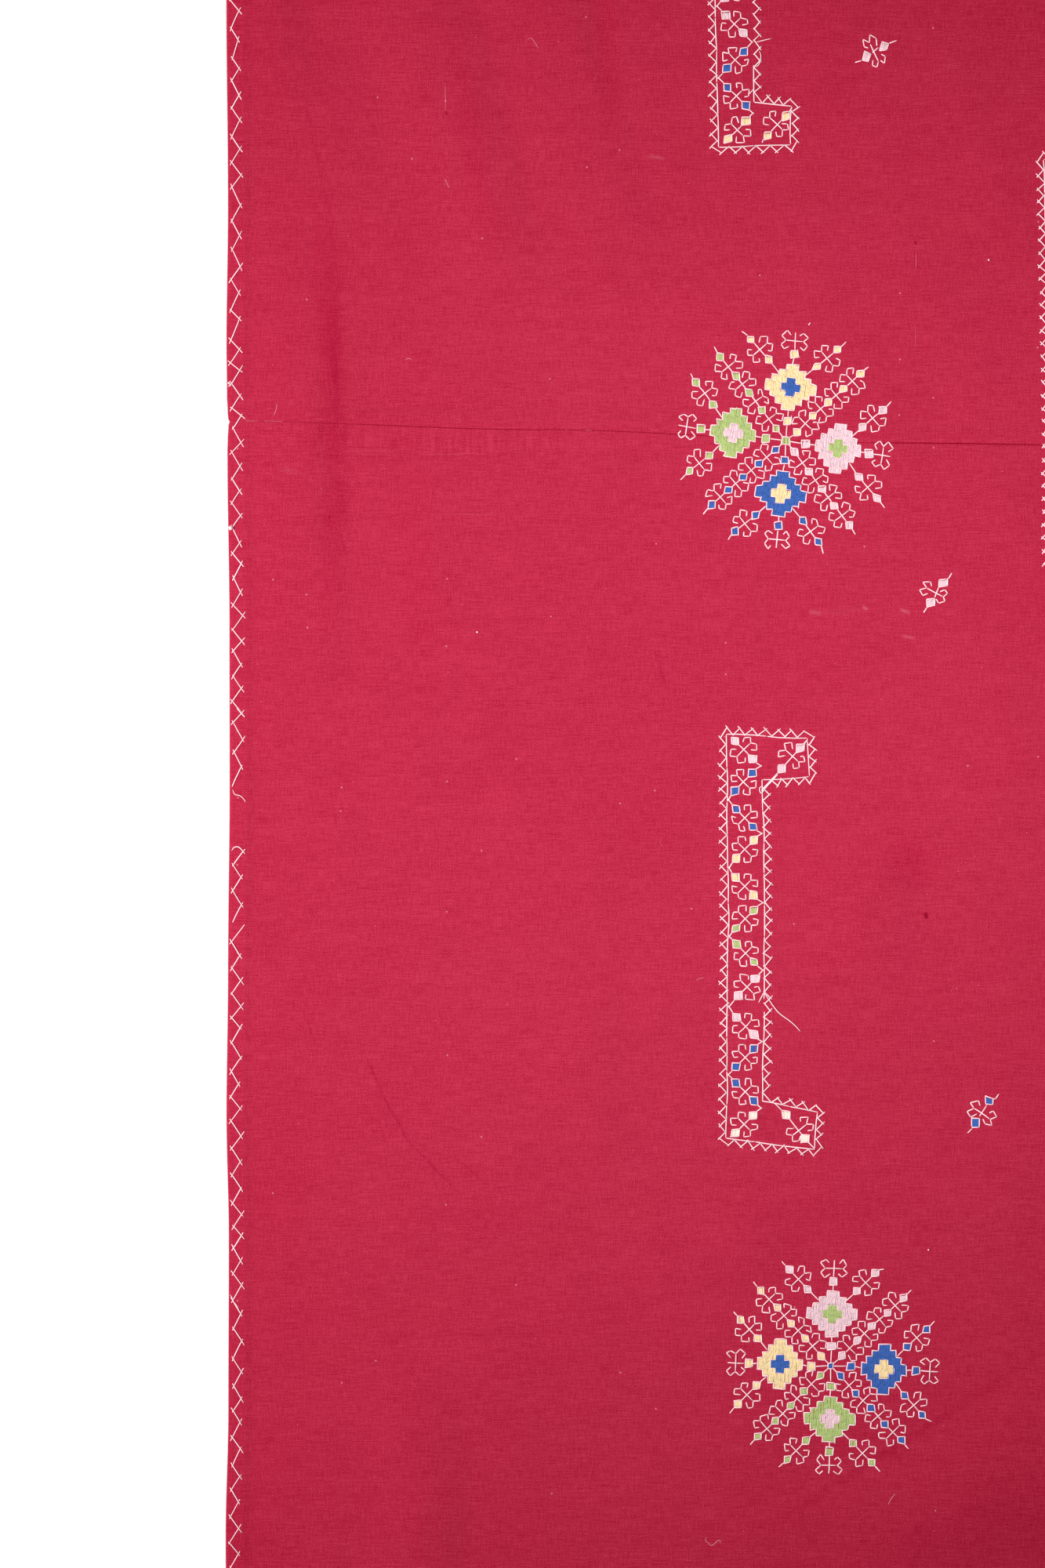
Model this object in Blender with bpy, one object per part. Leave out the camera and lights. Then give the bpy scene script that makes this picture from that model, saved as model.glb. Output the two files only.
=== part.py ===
"""Embroidered cotton panel, lying face up.

Two widths of red cotton are joined along their selvages by one seam that runs across the panel, and the
outer edges are turned under into narrow hems. The cloth lies flat apart from a few soft folds.

Units are metres. +X is the panel's right, +Y its top, +Z up out of its face, and the origin is below
its middle on the surface that it lies on. "Across" is counted from the nominal left edge and "down"
from the nominal top edge.
"""
from collections import namedtuple
from math import pi, sin

import bmesh
import bpy

# Driving sizes
PANEL_WIDTH = 0.900
PANEL_HEIGHT = 1.306
CLOTH_THICKNESS = 0.0012
HEM_WIDTH = 0.0105
HEM_EXTRA = 0.0008
SEAM_ALLOWANCE = 0.008
SEAM_EXTRA = 0.0006
SEAM_GAP = 0.0003
EDGE_ROUND = 0.001
EDGE_DROP = 0.0003
BAND_STEP = 0.001

# Grid of each cloth: steps between its edge bands, which are closer together towards the left, where
# the folds are
STEPS_ACROSS = 34
STEPS_DOWN_UPPER = 19
STEPS_DOWN_LOWER = 28
LEFT_CROWDING = 1.35
EVEN_STEPS = 1.0

COTTON_RED = (0.578, 0.031, 0.074, 1.0)
COTTON_ROUGHNESS = 0.85

# The seam drops a little from left to right
SeamPoint = namedtuple("SeamPoint", "across down")
SEAM_LINE = (
    SeamPoint(0.000, 0.5185),
    SeamPoint(0.200, 0.5240),
    SeamPoint(0.420, 0.5325),
    SeamPoint(0.900, 0.5440),
)

# How far the left edge strays inwards from a straight line, down its length. It is drawn in where the seam
# meets it.
EdgePoint = namedtuple("EdgePoint", "down inwards")
LEFT_EDGE = (
    EdgePoint(0.000, -0.0004),
    EdgePoint(0.250, -0.0005),
    EdgePoint(0.380, 0.0005),
    EdgePoint(0.470, -0.0005),
    EdgePoint(0.502, -0.0002),
    EdgePoint(0.513, 0.0003),
    EdgePoint(0.517, 0.0006),
    EdgePoint(0.519, 0.0015),
    EdgePoint(0.5212, 0.0008),
    EdgePoint(0.529, 0.0004),
    EdgePoint(0.537, 0.0001),
    EdgePoint(0.650, 0.0014),
    EdgePoint(0.750, 0.0015),
    EdgePoint(0.870, 0.0005),
    EdgePoint(0.960, -0.0005),
    EdgePoint(1.040, 0.0010),
    EdgePoint(1.150, 0.0007),
    EdgePoint(1.230, -0.0010),
    EdgePoint(1.306, -0.0006),
)

# The other three edges are slow waves: how many there are along the edge, and where the first begins
EDGE_WAVE = 0.001
EdgeWave = namedtuple("EdgeWave", "waves start")
RIGHT_EDGE = EdgeWave(1.7, 0.1)
TOP_EDGE = EdgeWave(1.4, 0.3)
BOTTOM_EDGE = EdgeWave(1.9, 0.6)

# How quickly an edge's unevenness dies away inwards: the power of the distance from the opposite edge
EDGE_FADE = 8

# Soft folds. Each crest runs from its start to its end; one flank is broad and the other steep, and the
# fold dies away over a share of its length at either end.
Fold = namedtuple("Fold", "across_start down_start across_end down_end height broad steep fade_start fade_end")
FOLDS = (
    Fold(0.010, 0.080, 0.040, 0.370, 0.0014, 0.050, 0.026, 0.30, 0.35),
    Fold(0.050, 0.310, 0.0535, 0.770, 0.0020, 0.055, 0.026, 0.40, 0.55),
    Fold(0.070, 0.050, 0.185, 0.470, 0.0016, 0.050, 0.040, 0.20, 0.30),
    Fold(0.150, 0.000, 0.262, 0.450, 0.0015, 0.060, 0.028, 0.20, 0.35),
    Fold(0.380, 0.100, 0.410, 0.360, 0.0010, 0.055, 0.036, 0.20, 0.45),
    Fold(0.225, 0.720, 0.240, 1.080, 0.0006, 0.055, 0.030, 0.45, 0.45),
    Fold(0.408, 0.740, 0.414, 0.900, 0.0012, 0.055, 0.040, 0.45, 0.45),
    Fold(0.130, 1.120, 0.118, 1.330, 0.0018, 0.045, 0.032, 0.50, 0.15),
    Fold(0.300, 1.290, 0.930, 0.960, 0.0024, 0.085, 0.060, 0.40, 0.15),
    Fold(0.440, 0.500, 0.940, 0.515, 0.0014, 0.034, 0.026, 0.30, 0.10),
    Fold(0.640, -0.060, 0.720, 0.520, 0.0024, 0.080, 0.045, 0.20, 0.45),
)


def smooth_step(t):
    """Rises from 0 to 1 as t does, level at both ends."""
    t = min(max(t, 0.0), 1.0)
    return t * t * (3.0 - 2.0 * t)


def along_table(points, where):
    """Value at a place in a two-column table, with a smooth step from row to row."""
    for (start, low), (end, high) in zip(points, points[1:]):
        if where <= end:
            return low + (high - low) * smooth_step((where - start) / (end - start))
    return points[-1][1]


def fold_height(fold, across, down):
    """Height of one fold: a rounded hump over its crest line that fades out at both ends."""
    run_across = fold.across_end - fold.across_start
    run_down = fold.down_end - fold.down_start
    length = (run_across**2 + run_down**2) ** 0.5
    from_start = (across - fold.across_start, down - fold.down_start)
    along = (from_start[0] * run_across + from_start[1] * run_down) / length**2
    sideways = (from_start[0] * run_down - from_start[1] * run_across) / length
    width = fold.steep if sideways > 0 else fold.broad
    hump = max(1.0 - (sideways / width) ** 2, 0.0) ** 2
    fade = smooth_step(along / fold.fade_start) * smooth_step((1.0 - along) / fold.fade_end)
    return fold.height * hump * fade


def underside(across, down):
    """Height of the cloth's underside: nothing where it lies flat, and the largest fold elsewhere."""
    return max(fold_height(fold, across, down) for fold in FOLDS)


def stations(length, near_band, far_band, steps, crowding):
    """Distances from one edge of a cloth to the other: each edge's rounding and turned-in band, and
    the steps between the two bands."""
    near = [0.0, EDGE_ROUND, near_band, near_band + BAND_STEP]
    far = [length - far_band - BAND_STEP, length - far_band, length - EDGE_ROUND, length]
    span = far[0] - near[-1]
    inner = [near[-1] + span * (k / steps) ** crowding for k in range(1, steps)]
    return near + inner + far


def band_share(distance, band):
    """1 inside a turned-in band, 0 beyond it."""
    return 1.0 - smooth_step((distance - band) / BAND_STEP)


def edge_share(distance):
    """1 on the very edge, 0 once past its rounding."""
    return 1.0 - smooth_step(distance / EDGE_ROUND)


def wave(edge, share):
    """How far a wavy edge has strayed at a share of its length."""
    return EDGE_WAVE * sin(2 * pi * (edge.waves * share + edge.start))


def strayed(across, down):
    """World X and Y of a nominal place. The unevenness of each edge fades away quickly into the cloth."""
    rightwards = across / PANEL_WIDTH
    downwards = down / PANEL_HEIGHT
    left = along_table(LEFT_EDGE, down)
    right = wave(RIGHT_EDGE, downwards)
    top = wave(TOP_EDGE, rightwards)
    bottom = wave(BOTTOM_EDGE, rightwards)
    x = across + left * (1 - rightwards) ** EDGE_FADE + right * rightwards**EDGE_FADE - PANEL_WIDTH / 2
    y = PANEL_HEIGHT / 2 - down - top * (1 - downwards) ** EDGE_FADE - bottom * downwards**EDGE_FADE
    return x, y


def layer(across, down, seam, is_upper):
    """The underside's height and the thickness at a place: one cloth, with more where it is turned
    under, rounded off at its edges."""
    to_side = min(across, PANEL_WIDTH - across)
    to_hem = down if is_upper else PANEL_HEIGHT - down
    to_seam = abs(down - seam) - SEAM_GAP / 2
    hem = HEM_EXTRA * max(band_share(to_side, HEM_WIDTH), band_share(to_hem, HEM_WIDTH))
    allowance = SEAM_EXTRA * band_share(to_seam, SEAM_ALLOWANCE)
    rounding = EDGE_DROP * max(edge_share(distance) for distance in (to_side, to_hem, to_seam))
    return underside(across, down) + rounding, CLOTH_THICKNESS + max(hem, allowance) - 2 * rounding


def cotton():
    """Crimson plain-weave cotton, matt."""
    material = bpy.data.materials.new("red_cotton")
    material.use_nodes = True
    shader = material.node_tree.nodes["Principled BSDF"]
    shader.inputs["Base Color"].default_value = COTTON_RED
    shader.inputs["Roughness"].default_value = COTTON_ROUGHNESS
    shader.inputs["Metallic"].default_value = 0.0
    return material


def cloth(name, is_upper, steps_down, material):
    """One width of cloth as a closed sheet: its underside is laid out as a grid, and a raised copy of
    the grid is its face."""
    columns = stations(PANEL_WIDTH, HEM_WIDTH, HEM_WIDTH, STEPS_ACROSS, LEFT_CROWDING)
    bands = (HEM_WIDTH, SEAM_ALLOWANCE) if is_upper else (SEAM_ALLOWANCE, HEM_WIDTH)
    mesh = bmesh.new()
    thickness = mesh.verts.layers.float.new("thickness")
    lines = []
    for across in columns:
        seam = along_table(SEAM_LINE, across)
        top = 0.0 if is_upper else seam + SEAM_GAP / 2
        bottom = seam - SEAM_GAP / 2 if is_upper else PANEL_HEIGHT
        line = []
        for from_top in stations(bottom - top, *bands, steps_down, EVEN_STEPS):
            height, thick = layer(across, top + from_top, seam, is_upper)
            corner = mesh.verts.new((*strayed(across, top + from_top), height))
            corner[thickness] = thick
            line.append(corner)
        lines.append(line)
    for left, right in zip(lines, lines[1:]):
        for k in range(len(left) - 1):
            mesh.faces.new((left[k], left[k + 1], right[k + 1], right[k]))
    raised = bmesh.ops.extrude_face_region(mesh, geom=mesh.faces[:], use_keep_orig=True)
    for item in raised["geom"]:
        if isinstance(item, bmesh.types.BMVert):
            item.co.z += item[thickness]
    mesh.verts.layers.float.remove(thickness)
    bmesh.ops.recalc_face_normals(mesh, faces=mesh.faces[:])
    data = bpy.data.meshes.new(name)
    mesh.to_mesh(data)
    mesh.free()
    data.materials.append(material)
    data.shade_smooth()
    sheet = bpy.data.objects.new(name, data)
    bpy.context.scene.collection.objects.link(sheet)


for leftover in list(bpy.data.objects):
    bpy.data.objects.remove(leftover)

red_cotton = cotton()
cloth("upper_cloth", True, STEPS_DOWN_UPPER, red_cotton)
cloth("lower_cloth", False, STEPS_DOWN_LOWER, red_cotton)
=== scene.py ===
"""Looks of the embroidered cotton panel, lying face up on a pale floor.

Lengths are in metres, and in the tables in millimetres. A place on the panel is a complex number: the
distance across from its nominal left edge, plus 1j times the distance down from its nominal top edge.
Multiplying a step by a unit number turns it.
"""
import math

import bpy
import numpy as np
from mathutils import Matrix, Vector


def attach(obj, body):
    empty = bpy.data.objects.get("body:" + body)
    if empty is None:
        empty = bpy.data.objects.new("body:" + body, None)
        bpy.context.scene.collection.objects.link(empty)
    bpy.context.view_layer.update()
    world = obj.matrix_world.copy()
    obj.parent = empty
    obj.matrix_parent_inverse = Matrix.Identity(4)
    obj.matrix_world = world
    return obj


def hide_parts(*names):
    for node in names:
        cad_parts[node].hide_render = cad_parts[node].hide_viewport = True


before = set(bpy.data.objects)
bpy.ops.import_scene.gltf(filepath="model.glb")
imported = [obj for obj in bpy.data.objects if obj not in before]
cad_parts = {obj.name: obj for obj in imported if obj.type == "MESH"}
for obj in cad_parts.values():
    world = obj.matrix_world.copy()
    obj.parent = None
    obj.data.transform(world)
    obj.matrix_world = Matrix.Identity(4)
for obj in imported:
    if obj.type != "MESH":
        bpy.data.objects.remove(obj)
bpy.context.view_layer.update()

MM = 0.001


# The upper width of cotton
# Crimson plain-weave cloth, cut about 0.92 m by 0.55 m. Its left, top and right edges are turned under once
# and stitched down, and its lower edge is a selvage that is seamed to the next width.
PANEL_WIDTH = 0.900
PANEL_HEIGHT = 1.306
COTTON_THICKNESS = 0.55 * MM
HEM_WIDTH = 10.5 * MM
HEM_EXTRA = 0.42 * MM
HEM_STEP = 5.0 * MM
SEAM_ALLOWANCE = 8.0 * MM
SEAM_EXTRA = 0.30 * MM
SEAM_STEP = 2.5 * MM
SEAM_GAP = 0.02 * MM
EDGE_ROUND = 0.8 * MM
EDGE_DROP = 0.30 * MM
EDGE_RISE = 0.10 * MM
TURNED_EDGE_GROOVE = 0.25 * MM
TURNED_EDGE_WIDTH = 0.5 * MM

# The seam drops a little from left to right: across, down
SEAM_LINE = np.array([(0, 518.5), (200, 524), (420, 532.5), (900, 544)]) * MM
# How far each selvage is rolled down into the seam: across, reach. The seam gapes a little in one stretch.
SEAM_ROLL = np.array([
    (0, 0.22), (60, 0.40), (110, 0.62), (405, 0.50), (440, 0.95), (480, 1.05), (530, 0.80), (900, 0.45),
]) * MM
SEAM_ROLL_DEPTH = 0.60
# How far the left edge strays inwards: down, inwards
LEFT_EDGE = np.array([
    (0, -0.4), (250, -0.5), (380, 0.5), (470, -0.5), (502, -0.2), (513, 0.3), (517, 0.6), (519, 1.5),
    (521.2, 0.8), (529, 0.4), (537, 0.1), (650, 1.4), (750, 1.5), (870, 0.5), (960, -0.5), (1040, 1.0),
    (1150, 0.7), (1230, -1.0), (1306, -0.6),
]) * MM
# The other edges are slow waves: how many along the edge, and where the first begins
EDGE_WAVE = 1.0 * MM
EDGE_FADE = 8
RIGHT_EDGE = (1.7, 0.1)
TOP_EDGE = (1.4, 0.3)
BOTTOM_EDGE = (1.9, 0.6)

# Soft folds: the crest's start and end, its height, the widths of its broad left and steep right flank,
# and the shares of its length over which it rises and dies away
FOLDS = (
    (10+80j, 40+370j, 1.4, 50, 26, 0.30, 0.35), (50+310j, 53.5+770j, 2.0, 55, 26, 0.40, 0.55),
    (70+50j, 185+470j, 1.6, 50, 40, 0.20, 0.30), (150+0j, 262+450j, 1.5, 60, 28, 0.20, 0.35),
    (380+100j, 410+360j, 1.0, 55, 36, 0.20, 0.45), (225+720j, 240+1080j, 0.6, 55, 30, 0.45, 0.45),
    (408+740j, 414+900j, 1.2, 55, 40, 0.45, 0.45), (130+1120j, 118+1330j, 1.8, 45, 32, 0.50, 0.15),
    (300+1290j, 930+960j, 2.4, 85, 60, 0.40, 0.15), (440+500j, 940+515j, 1.4, 34, 26, 0.30, 0.10),
    (640-60j, 720+520j, 2.4, 80, 45, 0.20, 0.45),
)
# Faint ripples of worn and pressed cloth: many small waves with the same steepness
RIPPLE_COUNT = 26
RIPPLE_LENGTHS = (0.016, 0.075)
RIPPLE_SLOPE = 0.0032
RIPPLE_LIFT = 0.10 * MM


def smooth_step(t):
    """Rises from 0 to 1 as t does, level at both ends: t squared times three less twice t."""
    t = np.clip(t, 0.0, 1.0)
    return t * t * (3.0 - 2.0 * t)


def along_table(rows, where):
    """Values at places in a two-column table, with a smooth step from each row to the next."""
    places, values = rows.T
    row = np.clip(np.searchsorted(places, where) - 1, 0, len(places) - 2)
    share = (where - places[row]) / (places[row + 1] - places[row])
    return values[row] + (values[row + 1] - values[row]) * smooth_step(share)


def wave(edge, share):
    """How far a wavy edge has strayed at a share of its length: a sine."""
    waves, start = edge
    return EDGE_WAVE * np.sin(2 * np.pi * (waves * share + start))


def on_cloth(place):
    """World x and y of places on the panel: the nominal place, plus each edge's straying times a high power
    of how near the place is to that edge."""
    right, down = place.real / PANEL_WIDTH, place.imag / PANEL_HEIGHT
    left_strays = along_table(LEFT_EDGE, place.imag) * (1 - right) ** EDGE_FADE
    right_strays = wave(RIGHT_EDGE, down) * right**EDGE_FADE
    top_strays = wave(TOP_EDGE, right) * (1 - down) ** EDGE_FADE
    bottom_strays = wave(BOTTOM_EDGE, right) * down**EDGE_FADE
    x = place.real + left_strays + right_strays - PANEL_WIDTH / 2
    return x, PANEL_HEIGHT / 2 - place.imag - top_strays - bottom_strays


def ripple(place):
    """How far the faint ripples lift the cloth off the surface: a sum of sine waves of many lengths and
    directions, set by one seed, made never less than nought by adding its size to it and halving."""
    rng = np.random.default_rng(41)
    height = np.full(place.shape, RIPPLE_LIFT)
    ranges = (RIPPLE_LENGTHS, (0, np.pi), (0, 1))
    for length, direction, phase in zip(*[rng.uniform(*ends, RIPPLE_COUNT) for ends in ranges]):
        turns = (place * np.exp(-1j * direction)).real / length + phase
        height += RIPPLE_SLOPE * length / (2 * np.pi) * np.sin(2 * np.pi * turns)
    return 0.5 * (height + np.hypot(height, RIPPLE_LIFT))


def underside(place):
    """Height of the cloth's underside: the largest fold there, and the ripples. A fold is a hump, one less
    the square of the distance from its crest over its flank's width, squared, and it fades at both ends."""
    height = np.zeros(place.shape)
    for start, end, high, broad, steep, rising, falling in FOLDS:
        run = (end - start) * MM
        local = (place - start * MM) * run.conjugate() / abs(run)
        along = local.real / abs(run)
        width = np.where(local.imag < 0, steep, broad) * MM
        hump = np.clip(1.0 - (local.imag / width) ** 2, 0.0, None) ** 2
        fade = smooth_step(along / rising) * smooth_step((1.0 - along) / falling)
        height = np.maximum(height, high * MM * hump * fade)
    return height + ripple(place)


def band_share(distance, band, step):
    """1 inside a turned-in band, 0 beyond it, with a soft step at its end."""
    return 1.0 - smooth_step((distance - band) / step)


def edge_distances(place):
    """Distances to the nearest hemmed edge and to the seam."""
    across, down = place.real, place.imag
    to_sides = np.minimum(across, PANEL_WIDTH - across)
    to_seam = np.abs(down - along_table(SEAM_LINE, across)) - SEAM_GAP / 2
    return np.minimum(to_sides, np.minimum(down, PANEL_HEIGHT - down)), to_seam


def face_height(place):
    """Height of the cloth's face: the underside, one thickness of cotton, the extra layer of a hem or seam
    allowance, and the fall at a hemmed edge or into the seam."""
    to_hem, to_seam = edge_distances(place)
    hem = HEM_EXTRA * band_share(to_hem, HEM_WIDTH, HEM_STEP)
    extra = np.maximum(hem, SEAM_EXTRA * band_share(to_seam, SEAM_ALLOWANCE, SEAM_STEP))
    roll = along_table(SEAM_ROLL, place.real)
    rolled = SEAM_ROLL_DEPTH * roll * band_share(to_seam, 0.0, roll)
    fall = np.maximum(EDGE_DROP * band_share(to_hem, 0.0, EDGE_ROUND), rolled)
    return underside(place) + COTTON_THICKNESS + extra - fall


def back_height(place):
    """Height of the cloth's back: the underside, a small rise at an edge, and the groove along the cut edge
    of the cloth that is turned under."""
    to_hem, to_seam = edge_distances(place)
    edge = band_share(np.minimum(to_hem, to_seam), 0.0, EDGE_ROUND)
    groove = np.clip(1.0 - np.abs(to_hem - HEM_WIDTH) / TURNED_EDGE_WIDTH, 0.0, None)
    return underside(place) + EDGE_RISE * edge + TURNED_EDGE_GROOVE * groove


HEM_STATIONS = np.array([0.0, 0.15, 0.4, 0.8, 3.0, 6.0, 9.0, 10.0, 10.5, 11.0, 12.2, 13.6, 15.5]) * MM
SEAM_STATIONS = np.array([0.0, 0.12, 0.25, 0.45, 0.7, 1.1, 2.5, 5.0, 7.5, 8.3, 9.2, 10.5]) * MM
GRID_PITCH = 4.2 * MM


def stations(length, near, far, steps):
    """Distances from one edge of a cloth to the other, one row of them for each length: close together at
    each edge, then in even steps."""
    length = np.reshape(length, (-1, 1))
    share = np.linspace(0.0, 1.0, steps + 1)[1:-1]
    inner = near[-1] + (length - near[-1] - far[-1]) * share
    return np.concatenate([near + 0 * length, inner, length - far[::-1]], axis=1)


def new_piece(name, vertices, faces, material):
    """A mesh object at the origin from a table of vertices and tables of faces with three or four corners."""
    mesh = bpy.data.meshes.new(name)
    mesh.from_pydata(vertices.tolist(), [], [face for table in faces for face in table.tolist()])
    mesh.validate()
    mesh.materials.append(material)
    mesh.shade_smooth()
    piece = bpy.data.objects.new(name, mesh)
    bpy.context.scene.collection.objects.link(piece)
    return piece


def faces_of(*corners):
    """A table of faces from arrays of their first corners, their second corners, and so on."""
    return np.stack(corners, -1).reshape(-1, len(corners))


def cloth(name, top, bottom, near, far, material):
    """One width of cloth as a closed sheet. Its grid runs across the panel and from the line top to the
    line bottom; the face and the back are the same grid at two heights, joined round the rim by a strip."""
    across = stations(PANEL_WIDTH, HEM_STATIONS, HEM_STATIONS, round(PANEL_WIDTH / GRID_PITCH))[0]
    length = bottom(across) - top(across)
    down = stations(length, near, far, round(length.mean() / GRID_PITCH))
    place = across[:, None] + 1j * (top(across)[:, None] + down)
    heights = (face_height(place), back_height(place))
    sides = [np.stack([*on_cloth(place), height], -1).reshape(-1, 3) for height in heights]
    index = np.arange(place.size).reshape(place.shape)
    quads = faces_of(index[:-1, :-1], index[:-1, 1:], index[1:, 1:], index[1:, :-1])
    rim = np.concatenate([index[:-1, 0], index[-1, :-1], index[:0:-1, -1], index[0, :0:-1]])
    after = np.roll(rim, -1)
    strip = faces_of(rim, after, after + place.size, rim + place.size)
    return new_piece(name, np.concatenate(sides), [quads, quads[:, ::-1] + place.size, strip], material)


class Finish:
    """A procedural material and the shader nodes that it is made of."""

    def __init__(self, name, roughness, specular, sheen=0.0):
        self.material = bpy.data.materials.new(name)
        self.material.use_nodes = True
        self.tree = self.material.node_tree
        self.surface = self.tree.nodes["Principled BSDF"].inputs
        self.surface["Roughness"].default_value = roughness
        self.surface["Specular IOR Level"].default_value = specular
        self.surface["Sheen Weight"].default_value = sheen

    def node(self, kind, inputs=None, **settings):
        """Outputs of a new node, with its settings and with its inputs filled by values or other outputs."""
        new = self.tree.nodes.new("ShaderNode" + kind)
        for name, value in settings.items():
            setattr(new, name, value)
        for name, value in (inputs or {}).items():
            if isinstance(value, bpy.types.NodeSocket):
                self.tree.links.new(value, new.inputs[name])
            else:
                new.inputs[name].default_value = value
        return new.outputs

    def sum(self, operation, a, b=0.0, c=0.0, clamp=False):
        """Output of one arithmetic node."""
        return self.node("Math", {0: a, 1: b, 2: c}, operation=operation, use_clamp=clamp)[0]

    def plus(self, base, source, share):
        """base plus a share of source."""
        return self.sum("MULTIPLY_ADD", source, share, base)

    def sine(self, place, pitch):
        """Sine of half a turn for each pitch of a place."""
        return self.sum("SINE", self.sum("MULTIPLY", place, math.pi / pitch))

    def vectors(self, operation, a, b):
        """Outputs of one node of vector arithmetic."""
        return self.node("VectorMath", {0: a, 1: b}, operation=operation)

    def noise(self, coordinates, scale, detail):
        """Noise from 0 to 1, with scale grains to the unit of each coordinate."""
        stretched = self.node("Mapping", {"Vector": coordinates, "Scale": scale})[0]
        return self.node("TexNoise", {"Vector": stretched, "Scale": 1.0, "Detail": detail})[0]

    def mix(self, share, a, b):
        """The colour that lies a share of the way from a to b."""
        return self.node("Mix", {0: share, 6: a, 7: b}, data_type="RGBA", clamp_factor=True)[2]

    def paint(self, colour, value, purity=1.0):
        """Gives the surface a colour, its brightness and purity multiplied."""
        shown = self.node("HueSaturation", {"Color": colour, "Value": value, "Saturation": purity})[0]
        self.tree.links.new(shown, self.surface["Base Color"])

    def emboss(self, relief, strength, depth):
        """Shades the surface as though relief stood out of it by so many times the depth."""
        bump = self.node("Bump", {"Height": relief, "Strength": strength, "Distance": depth})[0]
        self.tree.links.new(bump, self.surface["Normal"])

    def streak(self, coordinates, start, end, half_width):
        """A mask that is 1 along the middle of a line on the cloth and fades at its sides and ends: one less
        the square of the distance over the half width, times four times the share done and left of its
        length. The line and its half width are in millimetres."""
        x, y = on_cloth(np.array([start, end]) * MM)
        run = complex(x[1] - x[0], y[1] - y[0])
        local = self.node("Mapping", {
            "Vector": coordinates,
            "Location": (float(x[0]), float(y[0]), 0.0),
            "Rotation": (0.0, 0.0, math.atan2(run.imag, run.real)),
            "Scale": (abs(run), half_width * MM, 1.0),
        }, vector_type="TEXTURE")[0]
        along, sideways = self.node("SeparateXYZ", {0: local})[:2]
        across = self.sum("SUBTRACT", 1.0, self.sum("MULTIPLY", sideways, sideways), clamp=True)
        share = self.sum("MULTIPLY", along, self.sum("SUBTRACT", 1.0, along))
        return self.sum("MULTIPLY", across, self.sum("MULTIPLY", share, 4.0, clamp=True))


# Old crease lines, worn lines and small marks: start, end, half width, and how much darker the cloth is
# along them or, below nought, how far it is worn to bare fibre. The darkening along the crease lines and
# folds is painted shade, with no relief under it; the small dark spots are stains in the dye
MARKS = (
    (86+918j, 105.5+962j, 1.2, 0.1), (100+951j, 118+981j, 1.2, 0.1), (111+973j, 148+1011j, 1.1, 0.11),
    (144+986j, 170+1010j, 1, 0.06), (47.5+892j, 59+923j, 1.4, 0.09), (47.5+300j, 70+415j, 1.6, 0.05),
    (70+410j, 69+595j, 1.6, 0.03), (69+430j, 72+535j, 7.5, 0.04), (66.5+464j, 70.5+500j, 2.4, 0.055),
    (60+517j, 59+534j, 2.2, 0.08), (74.8+519j, 74.8+533j, 2.6, 0.06), (73.5+554j, 74.5+584j, 5, 0.055),
    (71.5+588j, 76.5+608j, 1.5, 0.05), (272.5+665j, 280+690j, 1.6, 0.09),
    (342.5+1225j, 521.5+1112.5j, 3.5, 0.07), (415+805j, 450+805j, 17, 0.05),
    # These two broad marks are painted shade, darker across the middle and towards the lower right corner
    (-60+675j, 460+675j, 200, 0.033), (400+1262j, 600+1190j, 35, 0.045),
    (139+302j, 139+323j, 0.35, -0.35), (439.1+410.5j, 439.1+422.5j, 0.4, -0.32),
    (438.2+409.5j, 438.2+423.5j, 0.5, 0.12), (440+409.5j, 440+423.5j, 0.5, 0.12),
    (438.5+455j, 438.5+475j, 0.3, -0.18), (138.7+321j, 140.3+324j, 0.9, 0.3),
    (437.5+404.5j, 440.2+405.5j, 1.2, 0.28), (64+579j, 65.2+581j, 0.9, 0.3),
    (445.4+831.2j, 446.1+836.2j, 1.5, 0.5), (369+640.5j, 410+639j, 2.5, -0.03),
    (370.5+640j, 379+641.5j, 1.8, -0.16), (404.5+636.5j, 408.8+639.2j, 1.3, -0.24),
    (429+638.3j, 436+641.4j, 1.4, -0.24), (430+655.5j, 439+657j, 1.4, -0.17),
    (267+349.3j, 280+351.2j, 1.5, -0.12), (32.5+549j, 45+551j, 2.5, -0.06),
    (5+340.5j, 11.2+340.5j, 0.5, 0.35), (65+534.5j, 108+535.8j, 0.5, 0.1),
    (52+540.3j, 118+541.7j, 0.5, 0.11), (70+537.2j, 116+537.8j, 0.3, -0.08),
    (82+539.5j, 105+539.8j, 0.3, -0.08), (118+539.7j, 164+539.6j, 0.3, -0.1),
    (132+577.5j, 180+578.2j, 0.3, -0.1), (54+604j, 68+604.2j, 0.4, 0.16),
)
# How much purer the red of a darker mark is, as in painted shade
MARK_SHADE_PURITY = 0.13
# How far the marks stray from their lines, and in how many waves to the metre
WANDER = 2.0 * MM
WANDER_GRAIN = 45.0
# Painted shade in the hollows beside the folds, where the red looks purer: start, end, half width, and how
# much purer the red is along them
SHADED_HOLLOWS = (
    (59+370j, 69+500j, 10, 0.011), (64+440j, 70+560j, 9, 0.009), (69+520j, 65+660j, 9, 0.009),
    (240+230j, 246+350j, 9, 0.007), (140+260j, 170+410j, 10, 0.006), (115+520j, 125+700j, 14, 0.006),
    (420+785j, 457+805j, 14, 0.01),
)

# The cloth's colour at its deepest and at its palest, from the dye's tone and the painted light together
COTTON_DEEP = (0.328, 0.0007, 0.0226, 1.0)
COTTON_PALE = (0.492, 0.0277, 0.0686, 1.0)
PALE_CURVE = 0.5
COTTON_ROUGHNESS = 0.9
COTTON_SPECULAR = 0.12
COTTON_SHEEN = 0.06
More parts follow.
